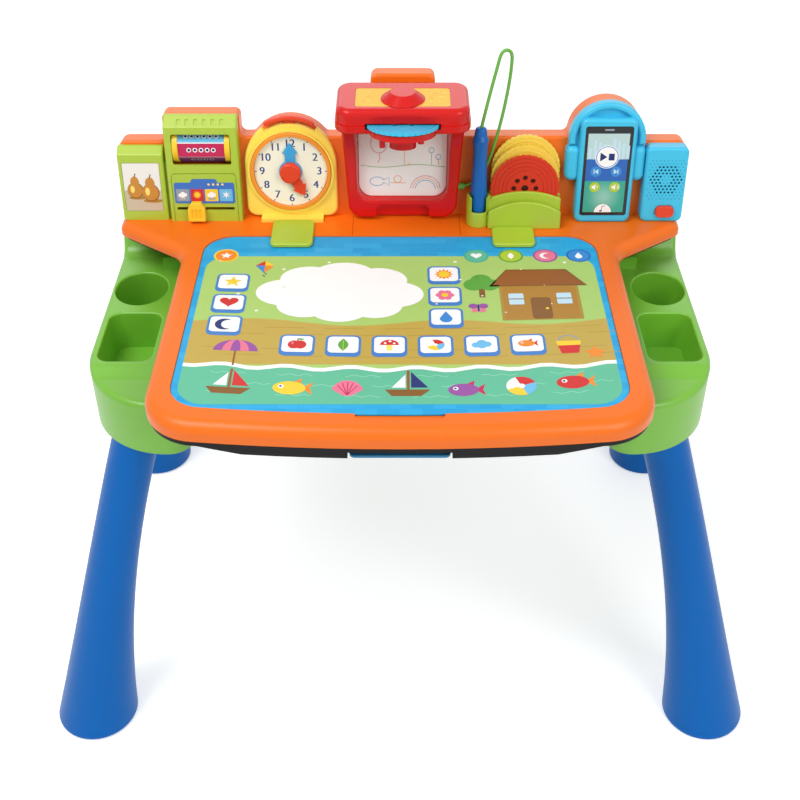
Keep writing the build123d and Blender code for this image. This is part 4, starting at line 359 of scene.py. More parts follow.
NODE_FINISH = {
    ORANGE: ["desktop_shell", "panel_shell", "panel_back"],
    RING_ORANGE: ["clock_ring"],
    GREEN: ["left_tray", "right_tray", "front_beam", "rear_beam"],
    BLUE: ["front_left_leg", "front_right_leg", "rear_left_leg", "rear_right_leg"],
    PEN_BLUE: ["pen"],
    DARK: ["lower_case", "battery_door", "touch_membrane"],
    BOARD: ["chalkboard"],
    PALE_GREEN: ["rest_pads"],
    LIME: ["page_tabs", "calendar_housing", "disc_rack"],
    CLOCK_YELLOW: ["clock_housing"],
    YELLOW: ["day_drum", "weather_slider"],
    DISC_YELLOW: ["yellow_disc_front", "yellow_disc_back"],
    LABEL: ["lid_label"],
    CREAM: ["clock_dial"],
    SHEET: ["drawing_sheet"],
    CORAL: ["clock_button"],
    HAND_RED: ["hour_hand", "speaker_button"],
    RED: ["projector_frame", "projector_dial", "lens_barrel"],
    RED_WITH_PAINTED_SLOT_SHADE: ["projector_head", "projector_lid"],
    DISC_RED: ["red_disc"],
    LIGHT_BLUE: ["image_disc", "player_housing", "speaker_housing"],
    CLIP_BLUE_PAINTED_SHADE: ["easel_clip"],
    HAND_BLUE: ["minute_hand"],
    CORD_GREEN: ["tether_cord", "cord_grommet"],
    PAGE_BLUE: ["activity_page"],
    SCREEN: ["player_screen", "speaker_driver"],
    WEATHER: ["weather_label"],
    PHOTO: ["photo_card"],
    STEEL: ["frame_screws", "hinge_pins", "clip_pin", "case_screws", "battery_contacts", "batteries"],
    BOARD_GREEN: ["main_board"],
    CLEAR: ["projection_lens", "projector_lamp"],
}
for material, names in NODE_FINISH.items():
    for name in names:
        nodes[name].data.materials.clear()
        nodes[name].data.materials.append(material)


# Rounded edges of the mouldings: radii and the gap that is welded, in millimetres
EDGE_RADIUS = {
    "clock_button": 1.2,
    "disc_rack": 0.9,
    "rest_pads": 0.9,
    "minute_hand": 0.6,
    "hour_hand": 0.6,
    "speaker_button": 0.8,
    "weather_slider": 0.6,
    "easel_clip": 0.7,
}
WELD_GAP = 0.01
FLAT_ANGLE = radians(0.4)
SHARP_ANGLE = radians(38)


def soften(node, radius):
    """Round the sharp edges of a CAD node by modifiers, without changing its mesh."""
    weld = node.modifiers.new("weld", "WELD")
    weld.merge_threshold = WELD_GAP * MM
    flat = node.modifiers.new("flat", "DECIMATE")
    flat.decimate_type = "DISSOLVE"
    flat.angle_limit = FLAT_ANGLE
    bevel = node.modifiers.new("round", "BEVEL")
    bevel.width = radius * MM
    bevel.segments = 3
    bevel.limit_method = "ANGLE"
    bevel.angle_limit = SHARP_ANGLE
    bevel.use_clamp_overlap = False
    bevel.miter_outer = "MITER_ARC"
    even = node.modifiers.new("even", "WEIGHTED_NORMAL")
    even.keep_sharp = False


for name, radius in EDGE_RADIUS.items():
    soften(nodes[name], radius)


# Outlines, drawn anticlockwise; the step of a round one and the gap of a ring are in degrees
ROUND_STEP = 12
FEWEST_STEPS = 8
RING_GAP = 0.01


def around(x, y, reach, angle):
    """Point at a distance from (x, y), in the direction of an angle in radians."""
    return x + reach * cos(angle), y + reach * sin(angle)


def ellipse(x, y, rx, ry=None, start=0, stop=360):
    """Round outline, or the slice of one between two angles."""
    count = max(FEWEST_STEPS, round(abs(stop - start) / ROUND_STEP))
    ry = rx if ry is None else ry
    whole = abs(stop - start) == 360
    steps = range(count) if whole else range(count + 1)
    angles = [radians(start + (stop - start) * step / count) for step in steps]
    return [(x + rx * cos(angle), y + ry * sin(angle)) for angle in angles]


def rectangle(x0, x1, y0, y1):
    """Rectangle with sharp corners."""
    return [(x0, y0), (x1, y0), (x1, y1), (x0, y1)]


def rounded(x0, x1, y0, y1, r):
    """Rectangle with round corners."""
    corners = [(x1 - r, y1 - r), (x0 + r, y1 - r), (x0 + r, y0 + r), (x1 - r, y0 + r)]
    outline = []
    for step, (x, y) in enumerate(corners):
        outline += ellipse(x, y, r, start=90 * step, stop=90 * step + 90)
    return outline


def star(x, y, outer, inner, count):
    """Star with its first tip up."""
    outline = []
    for step in range(2 * count):
        reach = inner if step % 2 else outer
        outline.append(around(x, y, reach, pi / 2 + pi * step / count))
    return outline


def stroke(points, width):
    """Outline of a line of even width through the points."""
    left, right = [], []
    for index, point in enumerate(points):
        before = Vector(points[max(0, index - 1)])
        after = Vector(points[min(len(points) - 1, index + 1)])
        along = (after - before).normalized()
        side = Vector((-along.y, along.x)) * width / 2
        left.append(tuple(Vector(point) + side))
        right.append(tuple(Vector(point) - side))
    return right + left[::-1]


def ring(x, y, radius, width, start=0, stop=360):
    """Round line; a whole one keeps two ends, a hair apart."""
    return stroke(ellipse(x, y, radius, start=start, stop=stop - RING_GAP), width)


def wave(x0, x1, y, rise, length):
    """Wavy run of points from x0 to x1."""
    count = 40
    xs = [x0 + (x1 - x0) * step / count for step in range(count + 1)]
    return [(x, y + rise * sin(2 * pi * x / length)) for x in xs]


def heart():
    """Heart about one unit to each side, on the well-known heart curve."""
    count, scale, lift = 36, 17, 2.5
    outline = []
    for step in range(count):
        t = 2 * pi * step / count
        x = 16 * sin(t) ** 3
        y = 13 * cos(t) - 5 * cos(2 * t) - 2 * cos(3 * t) - cos(4 * t)
        outline.append((-x / scale, (y + lift) / scale))
    return outline


def crescent():
    """Moon that opens to the right."""
    return ellipse(0, 0, 0.95, start=50, stop=310) + ellipse(0.42, 0, 0.75, start=285, stop=75)


def drop():
    """Water drop with its tip up."""
    return ellipse(0, -0.3, 0.62, start=150, stop=390) + [(0, 1.0)]


def blade(width):
    """Leaf with a tip at each end."""
    right = [(width * sin(pi * step / 10), -1 + 0.2 * step) for step in range(11)]
    return right + [(-x, y) for x, y in right[-2:0:-1]]


# Motifs: lists of (outline, ink), drawn about the origin and about one unit to each side
def petals(colour, centre):
    """Flower of six round petals."""
    parts = []
    for step in range(6):
        parts.append((ellipse(*around(0, 0, 0.58, radians(60 * step)), 0.36), colour))
    return parts + [(ellipse(0, 0, 0.34), centre)]


def fish(colour, fin):
    """Fish that swims to the left."""
    return [
        ([(0.45, 0), (1.0, -0.5), (0.86, 0), (1.0, 0.5)], fin),
        ([(-0.1, 0.4), (0.4, 0.4), (0.45, 0.78)], fin),
        (ellipse(-0.15, 0, 0.8, 0.52), colour),
        (ellipse(-0.55, 0.12, 0.14), "white"),
        (ellipse(-0.57, 0.12, 0.07), "navy"),
    ]


def boat(sail):
    """Boat with two sails."""
    return [
        ([(-0.7, -0.8), (0.55, -0.8), (0.95, -0.35), (-1.0, -0.35)], "brown"),
        (rounded(-0.06, 0.06, -0.35, 1.0, 0.05), "gold_dark"),
        ([(0.12, -0.22), (0.85, -0.22), (0.12, 0.9)], sail),
        ([(-0.12, -0.22), (-0.12, 0.7), (-0.7, -0.22)], "white"),
    ]


def house():
    """House with a door and two windows."""
    return [
        (rounded(-0.8, 0.8, -1.0, 0.25, 0.03), "sand_dark"),
        (rounded(-0.74, 0.74, -0.96, 0.25, 0.03), "tan"),
        ([(-1.0, 0.22), (1.0, 0.22), (0.62, 0.86), (-0.62, 0.86)], "brown"),
        ([(-0.93, 0.27), (0.93, 0.27), (0.6, 0.8), (-0.6, 0.8)], "gold_dark"),
        (rounded(-0.2, 0.2, -0.96, -0.2, 0.08), "brown"),
        (ellipse(0.11, -0.6, 0.035), "yellow"),
        (rounded(-0.63, -0.33, -0.45, -0.05, 0.03), "pale_sky"),
        (rounded(0.33, 0.63, -0.45, -0.05, 0.03), "pale_sky"),
        (stroke([(-0.63, -0.25), (-0.33, -0.25)], 0.03), "brown"),
        (stroke([(0.33, -0.25), (0.63, -0.25)], 0.03), "brown"),
    ]


def tree():
    """Round tree."""
    return [
        (rounded(-0.14, 0.14, -1.0, 0.0, 0.05), "brown"),
        (ellipse(-0.36, 0.1, 0.5), "leaf"),
        (ellipse(0.36, 0.1, 0.5), "leaf"),
        (ellipse(0, 0.5, 0.5), "leaf"),
    ]


def leaf():
    """Leaf with its middle vein."""
    return [(blade(0.5), "leaf"), (stroke([(0, -1.1), (0, 0.7)], 0.08), "lime")]


def parasol(colour, other):
    """Open sunshade on a stick."""
    return [
        (stroke([(0, -1.0), (0, 0.9)], 0.09), "gold_dark"),
        (ellipse(0, 0.1, 1.0, 0.85, 0, 180), colour),
        (ellipse(0, 0.1, 0.6, 0.85, 0, 180), other),
        (ellipse(0, 0.1, 0.22, 0.85, 0, 180), colour),
    ]


def bucket(colour, other):
    """Pail with its handle up."""
    return [
        (ring(0, 0.3, 0.6, 0.1, 0, 180), "grey"),
        ([(-0.5, -0.9), (0.5, -0.9), (0.75, 0.35), (-0.75, 0.35)], colour),
        ([(-0.66, -0.1), (0.66, -0.1), (0.75, 0.35), (-0.75, 0.35)], other),
    ]


def ball():
    """Beach ball in four colours."""
    parts = []
    for step, colour in enumerate(("red", "white", "yellow", "sky")):
        start = 90 * step + 20
        parts.append(([(0, 0)] + ellipse(0, 0, 0.85, start=start, stop=start + 90), colour))
    return parts + [(ellipse(0, 0, 0.2), "white")]


def kite():
    """Kite with a tail."""
    return [
        (stroke([(0, -0.5), (0.2, -0.75), (-0.05, -0.9), (0.1, -1.1)], 0.07), "navy"),
        ([(0, 1), (-0.65, 0.35), (0, 0.35)], "red"),
        ([(0, 1), (0, 0.35), (0.65, 0.35)], "yellow"),
        ([(-0.65, 0.35), (0, -0.6), (0, 0.35)], "mid_blue"),
        ([(0, -0.6), (0.65, 0.35), (0, 0.35)], "orange"),
    ]


def mushroom():
    """Spotted mushroom."""
    return [
        (rounded(-0.28, 0.28, -0.9, 0.1, 0.12), "pale_yellow"),
        (ellipse(0, 0, 0.9, 0.85, 0, 180), "red"),
        (ellipse(-0.4, 0.3, 0.14), "white"),
        (ellipse(0.05, 0.58, 0.15), "white"),
        (ellipse(0.45, 0.25, 0.13), "white"),
    ]


def butterfly(colour, other):
    """Butterfly seen from above."""
    return [
        (ellipse(-0.5, 0.35, 0.48, 0.44), colour),
        (ellipse(0.5, 0.35, 0.48, 0.44), colour),
        (ellipse(-0.38, -0.4, 0.34), other),
        (ellipse(0.38, -0.4, 0.34), other),
        (ellipse(0, 0, 0.1, 0.7), "navy"),
    ]


def apple():
    """Apple with a leaf."""
    return [
        (stroke([(0, 0.4), (0.08, 0.95)], 0.12), "brown"),
        (ellipse(0.34, 0.78, 0.28, 0.14), "leaf"),
        (ellipse(-0.3, -0.1, 0.58, 0.66), "red"),
        (ellipse(0.3, -0.1, 0.58, 0.66), "red"),
        (ellipse(-0.45, 0.15, 0.12, 0.2), "pink"),
    ]


def shell(colour, line):
    """Fan-shaped shell."""
    parts = [(ellipse(0, -0.4, 0.95, 1.1, 10, 170) + [(-0.25, -0.8), (0.25, -0.8)], colour)]
    for angle in (40, 65, 90, 115, 140):
        tip = (0.78 * cos(radians(angle)), -0.4 + 0.92 * sin(radians(angle)))
        parts.append((stroke([(0, -0.75), tip], 0.06), line))
    return parts


def sun():
    """Sun with its rays."""
    return [(star(0, 0, 1.0, 0.66, 12), "orange"), (ellipse(0, 0, 0.58), "yellow")]


def cloud(colour):
    """Heap of round puffs."""
    puffs = [(-0.55, -0.1, 0.42), (0, 0.2, 0.5), (0.5, 0.0, 0.42), (0, -0.2, 0.46)]
    return [(ellipse(x, y, r), colour) for x, y, r in puffs]


def rain_cloud():
    """White cloud with three falling drops."""
    drops = [stroke([(x, -0.6), (x - 0.15, -1.0)], 0.1) for x in (-0.4, 0, 0.4)]
    return cloud("white") + [(outline, "white") for outline in drops]


def wind_cloud():
    """White cloud over two lines of wind."""
    lines = [stroke([(-0.8, y), (0.8, y)], 0.12) for y in (-0.75, -1.0)]
    return cloud("white") + [(outline, "mid_blue") for outline in lines]


def music_note():
    """Note with a flag."""
    return [
        (ellipse(-0.5, -0.5, 0.3, 0.22), "navy"),
        (stroke([(-0.26, -0.5), (-0.26, 0.6), (0.5, 0.8)], 0.14), "navy"),
    ]


# Prints
def on_panel(face_out):
    """Places on a face that is parallel to the panel and stands out by face_out."""
    return lambda x, up, height: panel_point(x, up, face_out + height)


def on_level(z):
    """Places on a level face."""
    return lambda x, y, height: Vector((x, y, z + height)) * MM


class Print:
    """Artwork in thin layers on one surface of the desk, in millimetres."""

    FIRST_LAYER = 0.03
    LAYER = 0.02

    def __init__(self, name, place):
        self.name = name
        self.place = place
        self.points = []
        self.faces = []
        self.face_inks = []

    def lay(self, outline, level):
        """Add points on a level, and give the number of the first."""
        first = len(self.points)
        height = self.FIRST_LAYER + self.LAYER * level
        self.points += [self.place(x, y, height) for x, y in outline]
        return first

    def fill(self, outline, colour, level=0):
        """Lay a filled outline on its level; its points run anticlockwise."""
        first = self.lay(outline, level)
        self.faces.append(list(range(first, len(self.points))))
        self.face_inks.append(colour)

    def motif(self, parts, x, y, scale, level=0):
        """Lay a motif at a place; each of its parts lies over the one before."""
        for step, (outline, colour) in enumerate(parts):
            moved = [(x + scale * px, y + scale * py) for px, py in outline]
            self.fill(moved, colour, level + step)

    def text(self, words, x, y, size, colour, level=0):
        """Lay a number, centred on its place."""
        curve = bpy.data.curves.new("number", "FONT")
        curve.body = words
        curve.size = size
        curve.align_x = "CENTER"
        curve.align_y = "CENTER"
        mesh = mesh_of(curve)
        first = self.lay([(x + vertex.co.x, y + vertex.co.y) for vertex in mesh.vertices], level)
        for polygon in mesh.polygons:
            self.faces.append([first + index for index in polygon.vertices])
            self.face_inks.append(colour)
        bpy.data.curves.remove(curve)
        bpy.data.meshes.remove(mesh)

    def finish(self, body):
        """Make the mesh and let it ride on its body."""
        mesh = bpy.data.meshes.new(self.name)
        mesh.from_pydata([tuple(point) for point in self.points], [], self.faces)
        names = sorted(set(self.face_inks))
        for name in names:
            mesh.materials.append(ink(name))
        for polygon, colour in zip(mesh.polygons, self.face_inks):
            polygon.material_index = names.index(colour)
        piece = add_object(self.name, mesh)
        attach(piece, body)


# Page: its pictures start on this level, above the grounds
PICTURE_LEVEL = 4
MEADOW_THINGS = [
    (house(), 112, -62, 40),
    (tree(), 66, -52, 17),
    (butterfly("purple", "pink"), 62, -84, 8),
    (kite(), -112, -26, 12),
]
SHORE_THINGS = [
    (parasol("purple", "pink"), -124, -146, 17),
    (bucket("red", "yellow"), 128, -136, 13),
    ([(star(0, 0, 1, 0.45, 5), "orange")], 147, -148, 9),
    (boat("red"), -124, -184, 17),
    (fish("yellow", "orange"), -78, -188, 15),
    (shell("pink", "magenta"), -38, -186, 12),
    (boat("navy"), 6, -182, 17),
    (fish("purple", "magenta"), 48, -189, 14),
    (ball(), 88, -186, 13),
    (fish("red", "orange"), 128, -184, 15),
]
LEFT_TILES = [[(star(0, 0, 1, 0.42, 5), "yellow")], [(heart(), "red")], [(crescent(), "navy")]]
RIGHT_TILES = [sun(), petals("pink", "yellow"), [(drop(), "mid_blue")]]
FRONT_TILES = [apple(), leaf(), mushroom(), ball(), cloud("sky"), fish("orange", "red")]
KEYS = [
    (-146, "yellow", "orange", [(star(0, 0, 1, 0.45, 5), "white")]),
    (64, "teal", "sea", [(heart(), "white")]),
    (93, "leaf", "lime", [(blade(0.5), "white")]),
    (122, "purple", "pink", [(crescent(), "white")]),
    (150, "blue", "mid_blue", [(drop(), "white")]),
]


def page_place(x, y, height):
    """Place on the page, whose front bows outwards."""
    share = (PAGE_Y1 - y) / (PAGE_Y1 - PAGE_Y0)
    return Vector((x, y + PAGE_BOW * share * (x / PAGE_X) ** 2, PAGE_Z + height)) * MM


def draw_grounds(page):
    """Meadow, beach and sea of the page."""
    half, front, rear, corner = 161, -212, -7, 20
    beach_front, beach_rear = -165, -104
    shore, foam_front, ripple, ripple_length = -161, -165.5, 2.2, 48
    page.fill(rounded(-half, half, front, rear, corner), "meadow")
    beach = [(-half, beach_front), (half, beach_front)] + wave(half, -half, beach_rear, 4, 150)
    page.fill(beach, "sand", 1)
    shore_line = wave(half, -half, shore, ripple, ripple_length)
    sea = ellipse(-half + corner, front + corner, corner, start=180, stop=270)
    sea += ellipse(half - corner, front + corner, corner, start=270, stop=360)
    page.fill(sea + shore_line, "sea", 2)
    page.fill(wave(-half, half, foam_front, ripple, ripple_length) + shore_line, "white", 3)


def staggered(first, pitch, shift, count, rows):
    """Starts of the marks in some rows; every second row is shifted."""
    starts = []
    for row, y in enumerate(rows):
        starts += [(first + pitch * step + shift * (row % 2), y) for step in range(count)]
    return starts


def draw_ground_marks(page):
    """Streaks in the sand, ripples on the sea and small flowers on the meadow."""
    for x, y in staggered(first=-150, pitch=46, shift=17, count=7, rows=(-112, -121, -140, -149)):
        page.fill(stroke([(x, y), (x + 30, y + 0.6)], 0.6), "sand_dark", 2)
    for x, y in staggered(first=-140, pitch=50, shift=20, count=6, rows=(-172, -184, -196)):
        page.fill(stroke(wave(x, x + 26, y, 0.9, 12), 0.8), "sea_light", 3)
    left, wide, rear, deep = -150, 301, -14, 86
    for step in range(26):
        x = left + (step * 71) % wide
        y = rear - (step * 37) % deep
        page.motif(petals("white", "pale_yellow"), x, y, 1.6, 1)


def draw_writing_field(page):
    """White field in the shape of a cloud."""
    puffs = [
        (-92, -62, 24), (-74, -42, 24), (-46, -38, 27), (-18, -44, 24),
        (-4, -64, 23), (-20, -80, 22), (-48, -84, 24), (-76, -80, 22),
    ]
    for step, (x, y, r) in enumerate(puffs):
        page.fill(ellipse(x, y, r, r * 0.8), "white", PICTURE_LEVEL + step)
    page.fill(ellipse(-48, -62, 42, 26), "white", PICTURE_LEVEL + len(puffs))


def draw_things(page, things):
    """Motifs on the page, each with its place and scale."""
    for parts, x, y, scale in things:
        page.motif(parts, x, y, scale, PICTURE_LEVEL)


def draw_tile(page, parts, x, y):
    """White tile in a blue frame with a motif on it."""
    frame_half, face_half = 13.5, 11.6
    page.fill(rounded(x - frame_half, x + frame_half, y - 14.5, y + 13, 5), "tile_blue", PICTURE_LEVEL)
    page.fill(rounded(x - face_half, x + face_half, y - 9.5, y + 11.2, 3.6), "white", PICTURE_LEVEL + 1)
    page.motif(parts, x, y + 0.8, 8, PICTURE_LEVEL + 2)


def draw_tiles(page):
    """Two columns and one row of tiles."""
    column_pitch, row_pitch = 31, 35
    for step, parts in enumerate(LEFT_TILES):
        draw_tile(page, parts, -136, -48 - column_pitch * step)
    for step, parts in enumerate(RIGHT_TILES):
        draw_tile(page, parts, 36, -35 - column_pitch * step)
    for step, parts in enumerate(FRONT_TILES):
        draw_tile(page, parts, -78 + row_pitch * step, -134)


def draw_keys(page):
    """Round touch keys along the rear of the page."""
    y, rim_radius, face_radius, icon_scale = -6, 10.4, 8.8, 5
    for x, rim, face, icon in KEYS:
        page.fill(ellipse(x, y, rim_radius), rim, PICTURE_LEVEL)
        page.fill(ellipse(x, y, face_radius), face, PICTURE_LEVEL + 1)
        page.motif(icon, x, y, icon_scale, PICTURE_LEVEL + 2)


def draw_page():
    """Seaside picture on the page, with tiles and round keys."""
    page = Print("page_print", page_place)
    draw_grounds(page)
    draw_ground_marks(page)
    draw_writing_field(page)
    draw_things(page, MEADOW_THINGS)
    draw_tiles(page)
    draw_things(page, SHORE_THINGS)
    draw_keys(page)
    page.finish("desktop")


draw_page()


# Calendar
def on_drum(angle):
    """Places on the face of the day drum that looks up by an angle."""
    out, up = cos(angle), sin(angle)
    apothem = DRUM_RADIUS * cos(pi / DRUM_SIDES)

    def place(x, along, height):
        reach = apothem + height
        point_up = DRUM_UP + reach * up + along * out
        point_out = DRUM_OUT + reach * out - along * up
        return panel_point(x, point_up, point_out)

    return place


def draw_day_drum():
    """Coloured faces of the day drum, told apart by pips instead of names."""
    half = DRUM_RADIUS * sin(pi / DRUM_SIDES)
    left, right, edge = -188.8, -149.2, 1.0
    front_pips, pip_pitch, pip_drop = 5, 5.2, -0.4
    colours = ["magenta", "sky", "leaf", "orange", "red", "teal", "purple"]
    for side, colour in enumerate(colours):
        face = Print(f"day_face_{side + 1}", on_drum(2 * pi * side / DRUM_SIDES))
        face.fill(rectangle(left, right, -half, half), colour)
        face.fill(rectangle(left, right, half - edge, half), "white", 1)
        count = (front_pips + side - 1) % DRUM_SIDES + 1
        for pip in range(count):
            x = DRUM_X + (pip - (count - 1) / 2) * pip_pitch
            face.fill(ellipse(x, pip_drop, 2.0), "white", 1)
            face.fill(ellipse(x, pip_drop, 1.2), "navy", 2)
        face.finish("day_drum")


def draw_weather():
    """Four weather tiles in a row, under a row of small pale marks."""
    label = Print("weather_print", on_panel(WEATHER_OUT))
    half, bottom, top, corner = 5.6, 17.2, 28.2, 0.8
    sign_up, sign_scale = 23, 4
    mark_x, mark_up, mark_size, mark_pitch = -166, 31.5, 2, 4
    tiles = [
        (-188, "grey", rain_cloud()),
        (-175.5, "red", sun()),
        (-163, "yellow", wind_cloud()),
        (-150.5, "sky", [(star(0, 0, 1.0, 0.3, 6), "white")]),
    ]
    for x, colour, parts in tiles:
        label.fill(rounded(x - half, x + half, bottom, top, corner), colour)
        label.motif(parts, x, sign_up, sign_scale, 1)
    for step in range(4):
        x = mark_x + mark_pitch * step
        label.fill(rounded(x, x + mark_size, mark_up, mark_up + mark_size, 0.9), "pale_yellow")
    label.finish("desktop")


def draw_pear(card, x, up, size):
    """Golden pear with its shadow, a light spot and a stalk."""
    card.fill(ellipse(x + 1.5, up - size * 0.95, size * 0.95, size * 0.2), "tan", 2)
    card.fill(ellipse(x, up - 1, size * 0.85, size * 0.9), "gold_dark", 3)
    card.fill(ellipse(x - 0.3, up - 0.8, size * 0.78, size * 0.82), "gold", 4)
    card.fill(ellipse(x, up + size * 0.8, size * 0.46, size * 0.62), "gold", 5)
    card.fill(ellipse(x - size * 0.3, up, size * 0.22, size * 0.4), "pale_yellow", 6)
    card.fill(stroke([(x, up + size * 1.35), (x + 1.2, up + size * 1.75)], 0.9), "brown", 6)


def draw_photo():
    """Still life on the picture card: two pears on pale wood."""
    card = Print("photo_print", on_panel(PHOTO_OUT))
    left, right, bottom, table, top = -238.4, -207.1, 7.6, 26, 50.4
    card.fill(rounded(left, right, bottom, top, 1.2), "paper")
    card.fill(rounded(left, right, bottom, table, 1.0), "wood", 1)
    draw_pear(card, -229, 27, 8.2)
    draw_pear(card, -216, 25, 9)
    card.finish("desktop")


draw_day_drum()
draw_weather()
draw_photo()


# Clock
def draw_dial():
    """Hour numbers and hour ticks of the clock; each number is laid twice, to make it bolder."""
    dial = Print("clock_print", on_panel(DIAL_OUT))
    number_reach, number_size, bold = 24.6, 9.6, 0.2
    tick_inner, tick_outer, tick_width = 29.4, 31.0, 0.7
    for hour in range(1, 13):
        angle = radians(90 - 30 * hour)
        x, up = around(CLOCK_X, CLOCK_UP, number_reach, angle)
        for level, shift in enumerate((-bold, bold)):
            dial.text(str(hour), x + shift, up, number_size, "number_blue", level)
        tick = [around(CLOCK_X, CLOCK_UP, reach, angle) for reach in (tick_inner, tick_outer)]
        dial.fill(stroke(tick, tick_width), "navy")
    dial.finish("desktop")


draw_dial()


# Projector
def draw_lid_label():
    """Small orange and pale signs scattered over the yellow label, clear of the knob."""
    label = Print("lid_print", on_level(LABEL_Z))
    left, wide, front, deep = PROJECTOR_X - 34, 69, 26, 31
    for step in range(44):
        x = left + (step * 29) % wide
        y = front + (step * 11) % deep
        if (x - PROJECTOR_X) ** 2 + (y - KNOB_Y) ** 2 < KNOB_REACH ** 2:
            continue
        if step % 2:
            sign = ring(x, y, 1.3, 0.5)
        else:
            sign = stroke([(x - 1.6, y - 0.8), (x, y + 1.0), (x + 1.6, y - 0.8)], 0.6)
        label.fill(sign, "pale_yellow" if step % 3 else "orange", step % 7)
    label.finish("desktop")


def draw_sheet():
    """Line doodles on the drawing sheet, as a child would draw them."""
    sheet = Print("sheet_print", on_panel(SHEET_OUT))
    width = 0.6

    def line(points, colour):
        sheet.fill(stroke(points, width), colour)

    line(wave(-34, 39, 46, 1.2, 60), "line_green")
    line(ellipse(-18, 66, 7, 8.5, -90, 269), "line_pink")
    line([(-18, 57.5), (-17, 53), (-19, 49)], "line_pink")
    line(ellipse(4, 62, 9, 9, 0, 180), "line_orange")
    line([(-5, 62), (13, 62)], "line_orange")
    line([(4, 62), (4, 48), (7, 46.5), (8.5, 49)], "line_orange")
    for x, up in ((27, 60), (33, 54)):
        line(ellipse(x, up, 2.25, start=0, stop=348), "line_blue")
        line([(x, up - 2.2), (x, 47)], "line_green")
    for radius, colour in ((13, "line_pink"), (11, "line_orange"), (9, "line_blue")):
        line(ellipse(22, 24, radius, start=8, stop=172), colour)
    line(ellipse(-20, 32, 6, 4, 15, 345), "line_blue")
    line([(-14.2, 33), (-9.5, 36), (-9.5, 28), (-14.2, 31)], "line_blue")
    line(ellipse(-2, 34, 3.2, start=-90, stop=260), "line_orange")
    line([(-8, 30.6), (5, 30.6)], "line_orange")
    sheet.finish("desktop")


draw_lid_label()
draw_sheet()


# Picture disc in the rack
def draw_disc_holes():
    """Painted shade in the red disc's picture holes and its centre hole: dark discs laid at the holes'
    floor.
    """
    hole_shade = Print("disc_hole_painted_shade", on_panel(HOLE_FLOOR_OUT))
    count, reach, hole_radius, centre_radius = 8, 9.5, 2.15, 2.9
    for step in range(count):
        x, up = around(RACK_DISC_X, RACK_DISC_UP, reach, 2 * pi * step / count)
        hole_shade.fill(ellipse(x, up, hole_radius), "hole")
    hole_shade.fill(ellipse(RACK_DISC_X, RACK_DISC_UP, centre_radius), "hole")
    hole_shade.finish("red_disc")


draw_disc_holes()


# Player and speaker
def draw_screen_fields(screen):
    """Three fields of the player's front, with pale bars in the highest, and the slit over them."""
    left, right = 158.6, 193.6
    foot, low, high, head = 8, 36.5, 56, 78.5
    screen.fill(rectangle(left, right, high, head), "mint")
    for step in range(9):
        x = left + 1.5 + step * 4
        bar_top = 66 + (step * 7) % 9
        screen.fill(rectangle(x, x + 2.4, high, bar_top), "pale_sky", 1)
    screen.fill(rectangle(left, right, low, high), "blue")
    screen.fill(rectangle(left, right, foot, low), "teal_glow")
    screen.fill(rounded(PLAYER_X - 4, PLAYER_X + 4, 81, 82.4, 0.6), "grey")


def draw_play_key(screen):
    """Round key with the signs for play and stop."""
    x, up = PLAYER_X, 58
    screen.fill(ellipse(x, up, 10.2), "white", 2)
    screen.fill(ring(x, up, 9.2, 0.7), "mid_blue", 3)
    screen.fill([(x - 6, up - 4), (x, up), (x - 6, up + 4)], "navy", 3)
    screen.fill(rounded(x + 1.2, x + 6.2, up - 3, up + 3, 0.6), "navy", 3)


def draw_skip_key(screen, x, side):
    """Round key with a skip sign that points to its side: -1 for left, 1 for right."""
    up, radius = 45, 4.6
    screen.fill(ellipse(x, up, radius), "mid_blue", 1)
    arrow = [(x - side * 2, up - 2.4), (x + side * 1.2, up), (x - side * 2, up + 2.4)]
    screen.fill(arrow if side > 0 else arrow[::-1], "pale_sky", 2)
    bar = x + side * 1.6
    screen.fill(rounded(bar - 0.4, bar + 0.4, up - 2.2, up + 2.2, 0.3), "pale_sky", 2)


def draw_sound_key(screen, x, arcs):
    """Round key with a loudspeaker sign and its arcs of sound."""
    up, radius = 31, 4.6
    horn = [(-2.6, -1.2), (-1.2, -1.2), (0.6, -2.8), (0.6, 2.8), (-1.2, 1.2), (-2.6, 1.2)]
    screen.fill(ellipse(x, up, radius), "lime", 1)
    screen.fill([(x + across, up + rise) for across, rise in horn], "white", 2)
    for step in range(arcs):
        screen.fill(ring(x + 0.8, up, 1.6 + 1.2 * step, 0.5, -50, 50), "white", 2)


def draw_screen():
    """Printed controls of the player."""
    screen = Print("screen_print", on_panel(SCREEN_OUT))
    key_reach = 8.6
    draw_screen_fields(screen)
    draw_play_key(screen)
    for side, arcs in ((-1, 1), (1, 2)):
        x = PLAYER_X + side * key_reach
        draw_skip_key(screen, x, side)
        draw_sound_key(screen, x, arcs)
    screen.fill(ellipse(PLAYER_X, 8, 7.4, start=0, stop=180), "white", 1)
    screen.motif(music_note(), PLAYER_X, 11, 3.6, 2)
    screen.finish("desktop")


def draw_speaker():
    """Painted shade of rows of dimples over the speaker's front: small darker dots, around its ring of
    holes.
    """
    front = Print("speaker_dimple_shade", on_panel(SPEAKER_OUT))
    pitch, rise, dimple_radius = 3.3, 2.87, 0.6
    half_width, holes_inner, holes_outer = 15, 5, 14
    for row in range(-6, 7):
        for column in range(-5, 6):
            x = (column + 0.5 * (row % 2)) * pitch
            up = row * rise
            reach = (x ** 2 + up ** 2) ** 0.5
            if abs(x) < half_width and not holes_inner < reach < holes_outer:
                front.fill(ellipse(SPEAKER_X + x, SPEAKER_UP + up, dimple_radius), "dimple")
    front.finish("desktop")


draw_screen()
draw_speaker()


